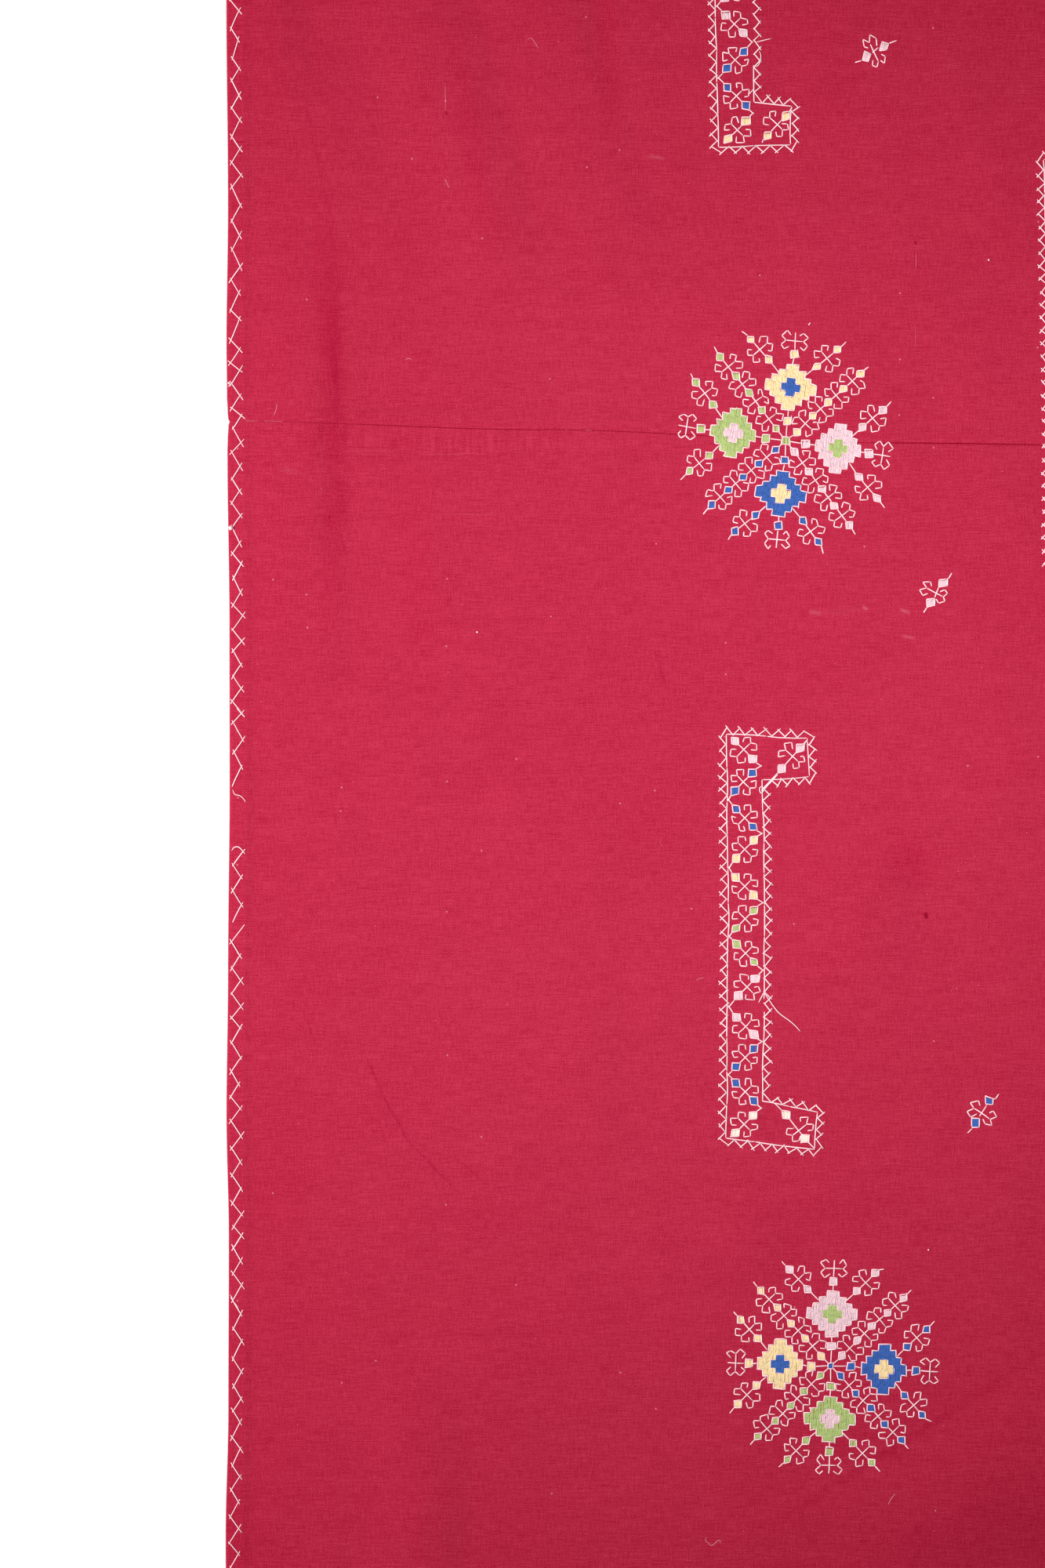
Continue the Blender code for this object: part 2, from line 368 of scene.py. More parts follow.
# Grains to the metre across and down, the noise's detail, and how strongly each shows: the warp, the weft,
# slubs, fibres, long weft bars, clouds in the dye, and its fading
GRAINS = (
    (1000, 120, 1, 0.54), (150, 1000, 1, 0.48), (60, 1200, 0, 0.38), (1500, 1500, 0, 1.05),
    (9, 130, 1, 0.16), (38, 38, 2, 0.13), (7, 5, 2, 0.14),
)
GRAIN_IN_DEPTH = 30
# Painted light: the cloth is painted palest round a place left of its middle, and painted darker away from
# it, as the light falls off: that place in world coordinates, the distances across and down that count as
# one, the pallor there, and the most that is lost away from it
PAINTED_LIGHT_AT = (-0.182, -0.075, 0.0)
PAINTED_LIGHT_REACH = (0.893, 1.063, 1.0)
PAINTED_LIGHT_EXTRA = 0.102
PAINTED_LIGHT_LOSS = 0.78
PAINTED_LIGHT_LOSS_ENDS = 0.32
# Pale flecks of bare fibre: the cells that may each hold one, to the metre, the share that do, and the
# fleck's radius and colour
FLECK_CELLS = 45.0
FLECK_SHARE = 0.07
FLECK_RADIUS = 0.75 * MM
BARE_FIBRE = (0.70, 0.22, 0.28, 1.0)
# Just below part of the seam, painted light and shade of slight gathering, which the cloth's shape does not
# have: a line, half its width, and the grain
PAINTED_GATHERS = (55+529j, 235+535.5j, 11)
PAINTED_GATHER_GRAIN = (420, 28, GRAIN_IN_DEPTH)
# How strongly the painted light and shade of the gathering show
PAINTED_GATHER_SHADE = 0.75
# The weave stands out a little where the yarns cross, and so do the thicker yarns of the warp and the weft
WEAVE_PITCH = 0.5 * MM
CROWN_RELIEF = 0.25
YARN_RELIEF = (1.0, 1.2)
WEAVE_STRENGTH = 0.35
WEAVE_DEPTH = 0.12 * MM


def cotton():
    """Crimson plain-weave cotton. Its pallor is the sum of the grains, less the square of the distance from a
    place left of its middle, which is painted light there and painted shade away from it, plus painted light
    and shade of the cloth's slight gathering below the seam, times a rising line of itself, and it mixes the
    deepest and the palest red. Marks darken the red, as painted shade along crease lines and folds and as
    stains, or, with the flecks, mix it with bare fibre, and painted shade in the hollows beside the folds
    makes it purer. The weave is the product of a sine each way, with its sign left off."""
    finish = Finish("crimson_cotton", COTTON_ROUGHNESS, COTTON_SPECULAR, COTTON_SHEEN)
    place = finish.node("TexCoord")["Object"]

    grains = [
        (finish.noise(place, (*pace, GRAIN_IN_DEPTH), detail), share) for *pace, detail, share in GRAINS
    ]
    # Painted light, palest round a place left of the middle, and painted shade away from it
    from_painted_light = finish.node(
        "Mapping", {"Vector": place, "Location": PAINTED_LIGHT_AT, "Scale": PAINTED_LIGHT_REACH}, vector_type="TEXTURE"
    )[0]
    away = finish.vectors("DOT_PRODUCT", from_painted_light, from_painted_light)["Value"]
    base = 0.5 + PAINTED_LIGHT_EXTRA - 0.5 * sum(share for _, share in grains)
    tone_and_painted_light = finish.plus(base, finish.sum("MINIMUM", away, PAINTED_LIGHT_LOSS_ENDS), -PAINTED_LIGHT_LOSS)
    for grain, share in grains:
        tone_and_painted_light = finish.plus(tone_and_painted_light, grain, share)
    # Painted light and shade of slight gathering below the seam
    painted_puckers = finish.sum("SUBTRACT", finish.noise(place, PAINTED_GATHER_GRAIN, 1.0), 0.5)
    painted_gathers = finish.sum("MULTIPLY", finish.streak(place, *PAINTED_GATHERS), painted_puckers)
    tone_and_painted_light = finish.plus(tone_and_painted_light, painted_gathers, PAINTED_GATHER_SHADE)
    curved = finish.plus(1.0 - PALE_CURVE / 2, tone_and_painted_light, PALE_CURVE)
    dyed_and_painted_light = finish.mix(finish.sum("MULTIPLY", tone_and_painted_light, curved), COTTON_DEEP, COTTON_PALE)

    cells = finish.node("TexVoronoi", {"Vector": place, "Scale": FLECK_CELLS}, voronoi_dimensions="2D")
    drawn = finish.node("SeparateXYZ", {0: cells["Color"]})[0]
    chosen = finish.sum("LESS_THAN", drawn, FLECK_SHARE)
    far = finish.sum("MULTIPLY", cells["Distance"], 1.0 / (FLECK_CELLS * FLECK_RADIUS))
    bare = finish.sum("MULTIPLY", chosen, finish.sum("SUBTRACT", 1.0, far, clamp=True))
    stray = finish.node("TexNoise", {"Vector": place, "Scale": WANDER_GRAIN, "Detail": 2.0})["Color"]
    centred = finish.vectors("SUBTRACT", stray, (0.5, 0.5, 0.5))[0]
    wander = finish.node("VectorMath", {0: centred, "Scale": WANDER}, operation="SCALE")[0]
    wandered = finish.vectors("ADD", place, wander)[0]
    painted_shade_and_stains = 0.0
    # Darker marks are painted shade along crease lines and folds, and stains; the rest bare the fibre
    for *line, darker in MARKS:
        on_line = finish.streak(wandered, *line)
        if darker > 0:
            painted_shade_and_stains = finish.plus(painted_shade_and_stains, on_line, darker)
        else:
            bare = finish.plus(bare, on_line, -darker)
    purity = 1.0
    # Painted shade: the red is purer in the hollows beside the folds
    for *line, purer in SHADED_HOLLOWS:
        purity = finish.plus(purity, finish.streak(place, *line), purer)
    # Painted shade also makes the red purer along the darker marks
    purity = finish.plus(purity, painted_shade_and_stains, MARK_SHADE_PURITY)
    finish.paint(finish.mix(bare, dyed_and_painted_light, BARE_FIBRE), finish.sum("SUBTRACT", 1.0, painted_shade_and_stains), purity)

    turns = [finish.sine(side, WEAVE_PITCH) for side in finish.node("SeparateXYZ", {0: place})[:2]]
    crowns = finish.sum("ABSOLUTE", finish.sum("MULTIPLY", *turns))
    relief = finish.sum("MULTIPLY", crowns, CROWN_RELIEF)
    for (yarn, _), share in zip(grains, YARN_RELIEF):
        relief = finish.plus(relief, yarn, share)
    finish.emboss(relief, WEAVE_STRENGTH, WEAVE_DEPTH)
    return finish.material


def seam_side(offset):
    """The line that runs beside the seam at an offset downwards."""
    return lambda across: along_table(SEAM_LINE, across) + offset


crimson_cotton = cotton()
upper_top, upper_bottom = np.zeros_like, seam_side(-SEAM_GAP / 2)
upper_cloth = cloth("upper_width", upper_top, upper_bottom, HEM_STATIONS, SEAM_STATIONS, crimson_cotton)
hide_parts("upper_cloth")
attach(upper_cloth, "root")


# The lower width of cotton
# The same cloth, cut about 0.92 m by 0.79 m. Its upper edge is the selvage that is seamed to the upper
# width, and its left, lower and right edges are hemmed.
lower_top, lower_bottom = seam_side(SEAM_GAP / 2), lambda across: np.full_like(across, PANEL_HEIGHT)
lower_cloth = cloth("lower_width", lower_top, lower_bottom, SEAM_STATIONS, HEM_STATIONS, crimson_cotton)
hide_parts("lower_cloth")
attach(lower_cloth, "root")


# The seam
# The two selvages are sewn edge to edge with fine dark red thread that lies down in the seam. It is matt and
# widest where the seam gapes, so that it also stands in for the shadow down in the seam as painted shade.
# Near the left hem tiny pale stitches show in it instead.
SEAM_STARTS, SEAM_ENDS = 1.0 * MM, PANEL_WIDTH - 2.0 * MM
SEAM_STITCH_PITCH = 1.0 * MM
SEAM_STITCH_LENGTH = 1.35 * MM
# The dark thread's width against how far the seam is rolled down: painted shade, widest where the seam gapes
SEAM_THREAD_SHARE = 0.80
PALE_SEAM_STITCHES = ((0.0103, 0.0190), (0.0225, 0.0345), (0.2152, 0.2162), (0.2288, 0.2322))
DARK_SEAM_FROM = 0.0290
PALE_STITCH_WIDTH = 0.30 * MM
PALE_STITCH_REACH = 0.22 * MM
PALE_STITCH_LIFT = 0.25 * MM
PALE_STITCH_STRAY = 0.05

# Each thread's colour, and the slot of the record that belongs to it
THREADS = {
    "cream": ((0.975, 0.645, 0.690), "cream_thread"),
    "ivory": ((0.880, 0.740, 0.620), "cream_thread"),
    "yellow": ((0.850, 0.640, 0.345), "yellow_thread"),
    "green": ((0.400, 0.490, 0.170), "green_thread"),
    "blue": ((0.034, 0.107, 0.390), "blue_thread"),
    "pink": ((0.780, 0.530, 0.580), "pink_thread"),
    "wine_shadow": ((0.310, 0.002, 0.016), "red_cotton"),
    "lint": ((0.740, 0.260, 0.320), "cream_thread"),
}
THREAD_ROUGHNESS = 0.65
THREAD_SPECULAR = 0.20
THREAD_SHEEN = 0.10
# The dark seam thread is matt, as painted shade in the seam
DULL_THREADS = ("wine_shadow",)
THREAD_SIDES = 6
# How strongly the painted shade in the grooves where the plies meet, and the fibres, darken the thread, and
# the mean of each
TWIST_SHADE = 0.12
FIBRE_SHADE = 0.16
TWIST_MEAN = 0.64
FIBRE_MEAN = 0.5
FIBRE_GRAIN = (0.8, 9.0, 1.0)
FIBRE_RELIEF = 0.4
PLY_STRENGTH = 0.4
PLY_DEPTH = 0.08 * MM


def thread(name, colour):
    """Soft two-ply cotton thread. The plies wind round it as slanting bands, a sine with its sign left off,
    a little lower where they meet and painted darker there as shade, fibres vary its colour, and each stitch
    has its own tone."""
    shine = (0.0, 0.0) if name in DULL_THREADS else (THREAD_SPECULAR, THREAD_SHEEN)
    finish = Finish(name + "_thread", THREAD_ROUGHNESS, *shine)
    lay = finish.node("UVMap", uv_map="lay")[0]
    along, around = finish.node("SeparateXYZ", {0: lay})[:2]
    plies = finish.sum("ABSOLUTE", finish.sine(finish.plus(along, around, 2.0), 1.0))
    fibres = finish.noise(lay, FIBRE_GRAIN, 3.0)
    # Painted shade where the plies meet, the fibres' tone, and each stitch's own tone
    shade = finish.plus(finish.node("Attribute", attribute_name="shade")["Fac"], plies, TWIST_SHADE)
    shade = finish.plus(shade, fibres, FIBRE_SHADE)
    shade = finish.sum("SUBTRACT", shade, TWIST_MEAN * TWIST_SHADE + FIBRE_MEAN * FIBRE_SHADE)
    finish.paint((*colour, 1.0), shade)
    finish.emboss(finish.plus(plies, fibres, FIBRE_RELIEF), PLY_STRENGTH, PLY_DEPTH)
    return finish.material


thread_materials = {name: thread(name, colour) for name, (colour, _) in THREADS.items()}
SEWN_ON = {"upper": [], "lower": []}


def tubes(name, colour, place, z, widths, heights, shades):
    """Many threads as one mesh that rides with the panel. Each is a row of oval rings, as wide and as high
    as the tables say, set square to the way that it runs, with its first and last place drawn in to a
    point. SEWN_ON notes which width of cloth carries the most of it."""
    centres = np.stack([*on_cloth(place), z], -1)
    count, rings = place.shape
    run = np.gradient(centres, axis=1)
    run /= np.linalg.norm(run, axis=2, keepdims=True)
    side = np.stack([-run[..., 1], run[..., 0], np.zeros((count, rings))], -1)
    side /= np.linalg.norm(side, axis=2, keepdims=True)
    above = np.cross(run, side)
    above *= np.sign(above[..., 2:3])

    # The ring of each vertex, its reach sideways and upwards, and its share of the way round
    lap = np.arange(THREAD_SIDES)
    angle = 2 * np.pi * lap / THREAD_SIDES
    ring = np.repeat(np.arange(rings), [1, *[THREAD_SIDES] * (rings - 2), 1])
    rows = (np.cos(angle), np.sin(angle), lap / THREAD_SIDES)
    sideways, upwards, round_it = (np.array([0.0, *np.tile(row, rings - 2), 0.0]) for row in rows)
    half_width = (0.5 * widths[:, ring] * sideways)[..., None]
    half_height = (0.5 * heights[:, ring] * upwards)[..., None]
    vertices = centres[:, ring] + half_width * side[:, ring] + half_height * above[:, ring]

    each = len(ring)
    index = np.array([0 * lap, *(1 + np.arange(each - 2)).reshape(-1, THREAD_SIDES), 0 * lap + each - 1])
    index = index + each * np.arange(count)[:, None, None]
    after = np.roll(index, -1, axis=2)
    quads = faces_of(index[:, 1:-2], after[:, 1:-2], after[:, 2:-1], index[:, 2:-1])
    near_end = faces_of(index[:, 0], after[:, 1], index[:, 1])
    far_end = faces_of(index[:, -1], index[:, -2], after[:, -2])
    faces = [quads, near_end, far_end]
    piece = new_piece(name, vertices.reshape(-1, 3), faces, thread_materials[colour])

    # The thread's own map: millimetres along it, and the share of the way round it
    gone = np.cumsum(np.linalg.norm(np.diff(centres, axis=1, prepend=centres[:, :1]), axis=2), axis=1)
    corner = np.concatenate([table.ravel() for table in faces])
    lay = np.stack([(gone[:, ring] / MM).ravel()[corner], np.tile(round_it, count)[corner]], -1)
    wrapped = lay[: quads.size].reshape(-1, 4, 2)[..., 1]
    wrapped[(np.ptp(wrapped, axis=1) > 0.5)[:, None] & (wrapped < 0.1)] = 1.0
    piece.data.uv_layers.new(name="lay").data.foreach_set("uv", lay.astype(np.float32).ravel())
    shade = piece.data.attributes.new("shade", "FLOAT", "POINT")
    shade.data.foreach_set("value", np.repeat(shades, each).astype(np.float32))

    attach(piece, "root")
    above_seam = np.mean(place.imag < along_table(SEAM_LINE, place.real))
    SEWN_ON["upper" if above_seam > 0.5 else "lower"].append(piece)


def unit(step):
    """A step made one long."""
    return step / abs(step)


# A stitch's places as shares of its length, and there its height over the cloth and its width
STITCH_SHARES = np.array([0.0, 0.05, 0.30, 0.70, 0.95, 1.0])
STITCH_ARCH = np.array([-0.45, 0.10, 0.42, 0.42, 0.10, -0.45])
STITCH_TAPER = np.array([0.0, 0.86, 1.0, 1.0, 0.86, 0.0])
# How far a stitch bows, against its length, how much the widths differ, and how much the shades
STITCH_BOW = 0.012
WIDTH_RANGE = (0.9, 1.1)
SHADE_SPREAD = 0.06
LINE_THREAD = 0.78 * MM
FILL_THREAD = 0.80 * MM
THREAD_FLATNESS = 0.44
LINE_LIFT = 0.10 * MM
CROSSING_LIFT = 0.28 * MM


class Needlework:
    """The stitches of one motif. They are kept by thread and made into one mesh for each thread."""

    def __init__(self, name, seed):
        self.name = name
        self.rng = np.random.default_rng(seed)
        self.stitches = {}

    def loosely(self, place, reach):
        """A place moved at random by about as much as a hand strays, in millimetres."""
        return place + reach * MM * complex(*self.rng.normal(0.0, 1.0, 2))

    def lay(self, colour, start, end, width=LINE_THREAD, lift=0.0):
        """One straight stitch from start to end. lift raises it over the stitches that it crosses."""
        width = width * self.rng.uniform(*WIDTH_RANGE)
        self.stitches.setdefault(colour, []).append((start, end, width, lift))

    def line(self, start, end, width=LINE_THREAD, lift=LINE_LIFT):
        """One stitch of the cream lines, which lie over the fillings."""
        self.lay("cream", start, end, width, lift)

    def chain(self, places):
        """Cream stitches from each place to the next, meeting end to end."""
        for start, end in zip(places, places[1:]):
            self.line(start, end, lift=0.0)

    def sew(self):
        """Makes the meshes. Along a stitch the places are shares of its length, bowed sideways a little,
        and its height over the cloth's face follows an arch whose ends dip into the cloth."""
        shares = STITCH_SHARES
        for colour, laid in self.stitches.items():
            start, end, width, lift = np.array(laid, complex).T[..., None]
            bow = self.rng.normal(0.0, STITCH_BOW, len(laid))[:, None] * 1j * (end - start)
            place = start + (end - start) * shares + bow * (4 * shares * (1 - shares))
            width = width.real
            high = width * THREAD_FLATNESS
            inner = (shares > 0) & (shares < 1)
            z = face_height(place) + high * STITCH_ARCH + lift.real * inner
            own_shades = self.rng.normal(1.0, SHADE_SPREAD, len(laid))
            name = f"{self.name}_{colour}"
            tubes(name, colour, place, z, width * STITCH_TAPER, high * STITCH_TAPER, own_shades)


seam = Needlework("seam", 5)
for across in np.arange(SEAM_STARTS, SEAM_ENDS, SEAM_STITCH_PITCH):
    middle = complex(across, along_table(SEAM_LINE, across))
    if any(start < across < end for start, end in PALE_SEAM_STITCHES):
        start = middle - 1j * PALE_STITCH_REACH
        end = seam.loosely(middle + 1j * PALE_STITCH_REACH, PALE_STITCH_STRAY)
        seam.lay("lint", start, end, PALE_STITCH_WIDTH, PALE_STITCH_LIFT)
    # The dark thread that stands in for the shadow in the seam: painted shade
    if across > DARK_SEAM_FROM:
        further = across + SEAM_STITCH_LENGTH
        width = SEAM_THREAD_SHARE * along_table(SEAM_ROLL, across)
        seam.lay("wine_shadow", middle, complex(further, along_table(SEAM_LINE, further)), width)
seam.sew()


# The hems
# The turned edges are held down from the face with herringbone stitch: slanting stitches of cream thread
# that cross near each end. Down the left hem two stretches of it are lost.
HEM_OUTER = 2.8 * MM
HEM_INNER = 8.1 * MM
HEM_PERIOD = 16.2 * MM
HEM_THREAD = 0.66 * MM
# Tails beyond the crossings near the edge and further in, their range, and how unevenly the crossings lie
# along the hem and across it
HEM_TAILS = (2.1 * MM, 2.8 * MM)
TAIL_RANGE = (0.6, 1.4)
HEM_SPREAD = (0.7 * MM, 0.3 * MM)
LEFT_HEM_SPREAD = 0.35 * MM
# How far the stitches' ends stray, in millimetres
HEM_STRAY = 0.15
LEFT_HEM_STRAY = 0.10
# From a corner to a hem's first and last crossing, and the measured stretch of the left hem
HEM_OPENS = 0.008
HEM_CLOSES = 0.004
MEASURED_FROM, MEASURED_TO = 0.250, 1.250

# Where the stitches of the left hem cross, in millimetres down, by turns at its outer and its inner line.
# A run that starts at the inner line opens with a stitch that comes from there.
LEFT_HEM_RUNS = (
    (
        "outer", 250, 257.2, 268.4, 275.5, 287.5, 293.9, 301.4, 310.5, 318.5, 326.3, 337, 345, 353.5,
        361.5, 369.3, 381, 391, 400, 409.5, 420.4, 428.5, 436.9, 447.8, 453.4, 467, 473, 481.3, 486,
        494.8, 502.4, 510.4, 515.1, 523.1, 532.3, 538.3, 547.4, 555.4, 563.4, 570.9, 578.9, 586.5, 596.3,
        603, 609.5, 618.5, 627.5, 635.6, 642.4, 651.5, 658.8, 665.3, 674, 681.4, 689, 697.3, 704.7, 710.5,
        721.6, 729.4, 739.2, 749.5,
    ),
    (
        "inner", 793.7, 801.5, 809.2, 817.8, 826.8, 836.4,
    ),
    (
        "inner", 842.2, 850.5, 859.3, 867.4, 875.2, 883.6, 891.8, 899, 905.5, 914.9, 924.6, 933.4, 941.4,
        949.5, 957.1, 964.8, 974.4, 982.5, 991.4, 999.8, 1008.4, 1017.4, 1024.6, 1032.5, 1038, 1045.7,
        1054, 1062.1, 1069.6, 1079.3, 1088, 1097.3, 1105.6, 1116.7, 1125.1, 1134.1, 1142, 1150, 1157.3,
        1167, 1174.4, 1184.6, 1192, 1200.4, 1208.2, 1217.5, 1225.1, 1234.4, 1241.4, 1250,
    ),
)


def herringbone(work, crossings, tails, reach, width=LINE_THREAD):
    """Stitches between crossings that lie by turns on two lines. Each is drawn out beyond its crossings by
    about the tail that belongs to each line, and every other one lies over its neighbours."""
    for k, (start, end) in enumerate(zip(crossings, crossings[1:])):
        out = unit(end - start)
        before = tails[k % 2] * work.rng.uniform(*TAIL_RANGE)
        beyond = tails[(k + 1) % 2] * work.rng.uniform(*TAIL_RANGE)
        start, end = work.loosely(start - before * out, reach), work.loosely(end + beyond * out, reach)
        work.line(start, end, width, CROSSING_LIFT * (k % 2))


def straight_hem(work, start, end, inwards):
    """A whole hem from start to end, whose stitches cross by turns near its edge and further in."""
    length = abs(end - start)
    count = round(length / (HEM_PERIOD / 2))
    marks = np.linspace(0.0, length, count + 1) + work.rng.normal(0.0, HEM_SPREAD[0], count + 1)
    depths = np.where(np.arange(count + 1) % 2, HEM_INNER, HEM_OUTER)
    depths += work.rng.normal(0.0, HEM_SPREAD[1], count + 1)
    herringbone(work, start + unit(end - start) * marks + inwards * depths, HEM_TAILS, HEM_STRAY, HEM_THREAD)


hems = Needlework("hem_stitches", 17)
corner = complex(PANEL_WIDTH, PANEL_HEIGHT)
straight_hem(hems, 1j * MEASURED_FROM, 1j * HEM_CLOSES, 1)
for line, *downs in LEFT_HEM_RUNS:
    on_outer = line == "outer"
    tails = HEM_TAILS if on_outer else HEM_TAILS[::-1]
    places = []
    for down in downs:
        depth = (HEM_OUTER if on_outer else HEM_INNER) + hems.rng.normal(0.0, LEFT_HEM_SPREAD)
        places.append(complex(depth, down * MM))
        on_outer = not on_outer
    herringbone(hems, places, tails, LEFT_HEM_STRAY, HEM_THREAD)
straight_hem(hems, 1j * MEASURED_TO, 1j * (PANEL_HEIGHT - HEM_CLOSES), 1)
straight_hem(hems, HEM_OPENS + 0j, PANEL_WIDTH - HEM_CLOSES + 0j, 1j)
straight_hem(hems, PANEL_WIDTH + 1j * HEM_OPENS, corner - 1j * HEM_CLOSES, -1)
straight_hem(hems, 1j * PANEL_HEIGHT + HEM_OPENS, corner - HEM_OPENS, -1j)
hems.sew()


# The brackets
# Tall bands with an arm and a foot. A line of cream thread frames each, herringbone stitch edges it
# outside, and inside it stand hooked crosses between small satin-stitched squares.
BRACKET_PERIOD = 8.2 * MM
BRACKET_TIP = 4.1 * MM
BRACKET_INNER = 0.3 * MM
BRACKET_TAILS = (1.6 * MM, 0.8 * MM)
CORNER_TAILS = (0.6 * MM, 0.6 * MM)
BRACKET_STRAY = 0.1
# How far from a corner a side's edging opens and closes: with a tip where the corner points outwards, and
# with a crossing by the line where it points inwards
TIP_OPENS = 0.0
TIP_CLOSES = 2.3 * MM
INNER_CORNER = 5.6 * MM
FRAME_STITCH = 21.0 * MM
FRAME_OVERLAP = 0.35 * MM
SQUARE_HALF = 2.25 * MM
FILL_PITCH = 0.55 * MM
# Thin stitches in a filling: their width against the others', and the share of stitches that are thin
THIN_STITCH = 0.60
THIN_STITCH_SHARE = 0.035
SATIN_OVERLAP = 0.45 * MM
SATIN_PAST = 0.1 * MM
SHORTEST_SATIN = 0.3
CORNER_DRAWN = 0.45 * MM
CROSS_FOOT = 5.65 * MM
# How unevenly the stitches lie, in metres: along an edging and out from it, the feet of the crosses, the
# joints in a filling, and how far an outline runs past its corners
EDGING_SPREAD = (0.3 * MM, 0.25 * MM)
FOOT_SPREAD = 0.3 * MM
JOINT_SPREAD = 0.9 * MM
OUTLINE_PAST = 0.35 * MM
# How far they stray, in millimetres: the frame, the corners of squares, and the tops and ends of a filling,
# which may stop this far short of the outline
FRAME_STRAY = 0.2
SQUARE_STRAY = 0.25
FILL_STRAYS = (0.12, 0.08)
FILL_SHORT = (-0.2, 0.7)
# A hook's three stitches from the foot of its cross: along the cross's axis + 1j * outwards
HOOK = (complex(2.9, 8.4) * MM, complex(5.9, 5.6) * MM, complex(3.4, 3.1) * MM)
HOOK_STRAY = 0.42


def hooked_cross(work, middle, axis, near, far):
    """A cross of two long stitches, one along the axis from near to far and one square to it, whose two feet
    each carry a pair of hooks that bend back beside the axis."""
    feet = [middle + side * 1j * axis * work.rng.normal(CROSS_FOOT, FOOT_SPREAD) for side in (1, -1)]
    for side, foot in zip((1, -1), feet):
        for hand in (1, -1):
            bends = [middle + axis * complex(hand * bend.real, side * bend.imag) for bend in HOOK]
            work.chain([foot] + [work.loosely(bend, HOOK_STRAY) for bend in bends])
    work.line(near, far, lift=0.0)
    work.line(*feet, lift=CROSSING_LIFT)


def satin_column(work, colour, top, bottom, pace=1.0, phase=0.0):
    """Upright stitches from top to bottom that overlap a little, with their joints about one pace apart. A
    few of the stitches are thin, so that the cloth shows beside them."""
    length = abs(bottom - top)
    joints = np.arange(phase * pace, length - SHORTEST_SATIN * pace, pace)
    joints = joints[joints > SHORTEST_SATIN * pace]
    ends = [0.0, *(joints + work.rng.normal(0.0, JOINT_SPREAD, len(joints))), length]
    down = (bottom - top) / length
    for start, end in zip(ends, ends[1:]):
        overlap = SATIN_OVERLAP if start > 0.0 else 0.0
        width = FILL_THREAD * (THIN_STITCH if work.rng.random() < THIN_STITCH_SHARE else 1.0)
        work.lay(colour, top + down * (start - overlap), top + down * (end + SATIN_PAST), width)


def outline(work, corners, width=LINE_THREAD):
    """One cream stitch along each side of a filled shape, a little past its corners here and there."""
    for start, end in zip(corners, corners[1:] + corners[:1]):
        past = np.abs(work.rng.normal(0.0, OUTLINE_PAST, 2)) * unit(end - start)
        work.line(start - past[0], end + past[1], width)


def patch(work, colour, corners):
    """A small four-cornered shape filled with upright satin stitches and outlined in cream. Its corners are
    upper left, upper right, lower right and lower left. Some fills stop short of the outline at the top."""
    upper_left, upper_right, lower_right, lower_left = corners
    columns = round(abs(upper_right - upper_left + lower_right - lower_left) / 2 / FILL_PITCH)
    short_by = work.rng.uniform(*FILL_SHORT) * MM
    for share in (np.arange(columns) + 0.5) / columns:
        top = upper_left + (upper_right - upper_left) * share + 1j * short_by
        bottom = lower_left + (lower_right - lower_left) * share
        satin_column(work, colour, work.loosely(top, FILL_STRAYS[0]), work.loosely(bottom, FILL_STRAYS[1]))
    outline(work, corners)


def square(work, colour, middle, axis, half=SQUARE_HALF):
    """A filled and outlined square. Where it stands on a corner, it is drawn out a little along its cross."""
    corners = []
    for corner in (-1 - 1j, 1 - 1j, 1 + 1j, -1 + 1j):
        along = (corner * axis.conjugate()).real
        drawn = axis * CORNER_DRAWN * np.sign(along) if abs(along) > 1.2 else 0.0
        corners.append(work.loosely(middle + corner * half + drawn, SQUARE_STRAY))
    patch(work, colour, corners)


def along_side(start, end, bow, share):
    """Place at a share of a bracket's side: the straight line, plus its bow times half a turn of a sine."""
    return start + (end - start) * share + bow * np.sin(np.pi * np.clip(share, 0.0, 1.0))


def frame_line(work, side, opens, closes):
    """A line of long stitches end to end, in cream, between two shares of a side."""
    count = max(round(abs(side[1] - side[0]) * (closes - opens) / FRAME_STITCH), 1)
    shares = np.linspace(opens, closes, count + 1)
    places = [work.loosely(along_side(*side, share), FRAME_STRAY) for share in shares]
    for start, end in zip(places, places[1:]):
        beyond = FRAME_OVERLAP * unit(end - start)
        work.line(start - beyond, end + beyond)


def edging(work, side, opens_inwards, closes_inwards):
    """Herringbone outside a side, from one corner to the next. Gives the places of its crossings."""
    length = abs(side[1] - side[0])
    opens = INNER_CORNER if opens_inwards else TIP_OPENS
    closes = INNER_CORNER if closes_inwards else TIP_CLOSES
    pairs = (length - opens - closes) / BRACKET_PERIOD
    alike = opens_inwards == closes_inwards
    count = 2 * max(round(pairs), 1) if alike else 2 * max(round(pairs - 0.5), 0) + 1
    marks = np.linspace(opens, length - closes, count + 1) + work.rng.normal(0.0, EDGING_SPREAD[0], count + 1)
    is_inner = (np.arange(count + 1) + opens_inwards) % 2 == 1
    depths = np.where(is_inner, BRACKET_INNER, BRACKET_TIP)
    depths += work.rng.normal(0.0, EDGING_SPREAD[1], count + 1)
    outwards = -1j * unit(side[1] - side[0])
    places = [along_side(*side, mark / length) + outwards * depth for mark, depth in zip(marks, depths)]
    herringbone(work, places, BRACKET_TAILS[::-1] if opens_inwards else BRACKET_TAILS, BRACKET_STRAY)
    return places


# A bracket's corners in turn, clockwise, that point inwards
TURNS_IN = (False, False, False, True, True, False, False, False)
UPRIGHT = np.exp(0.25j * np.pi)
SQUARE_REACH = 8.0 * MM
SQUARE_SPREAD = 0.25 * MM
# From the middle of a square to where its cross's thread begins, down the bracket and at its ends
SQUARE_EDGE = 3.3 * MM
END_SQUARE_EDGE = 3.0 * MM
# A chevron's start from the middle of its square, and how far its two stitches run past their meeting
CHEVRON_START = (2.2, 2.6)
CHEVRON_PAST = 0.8 * MM
TIE_LIFT = 0.25 * MM


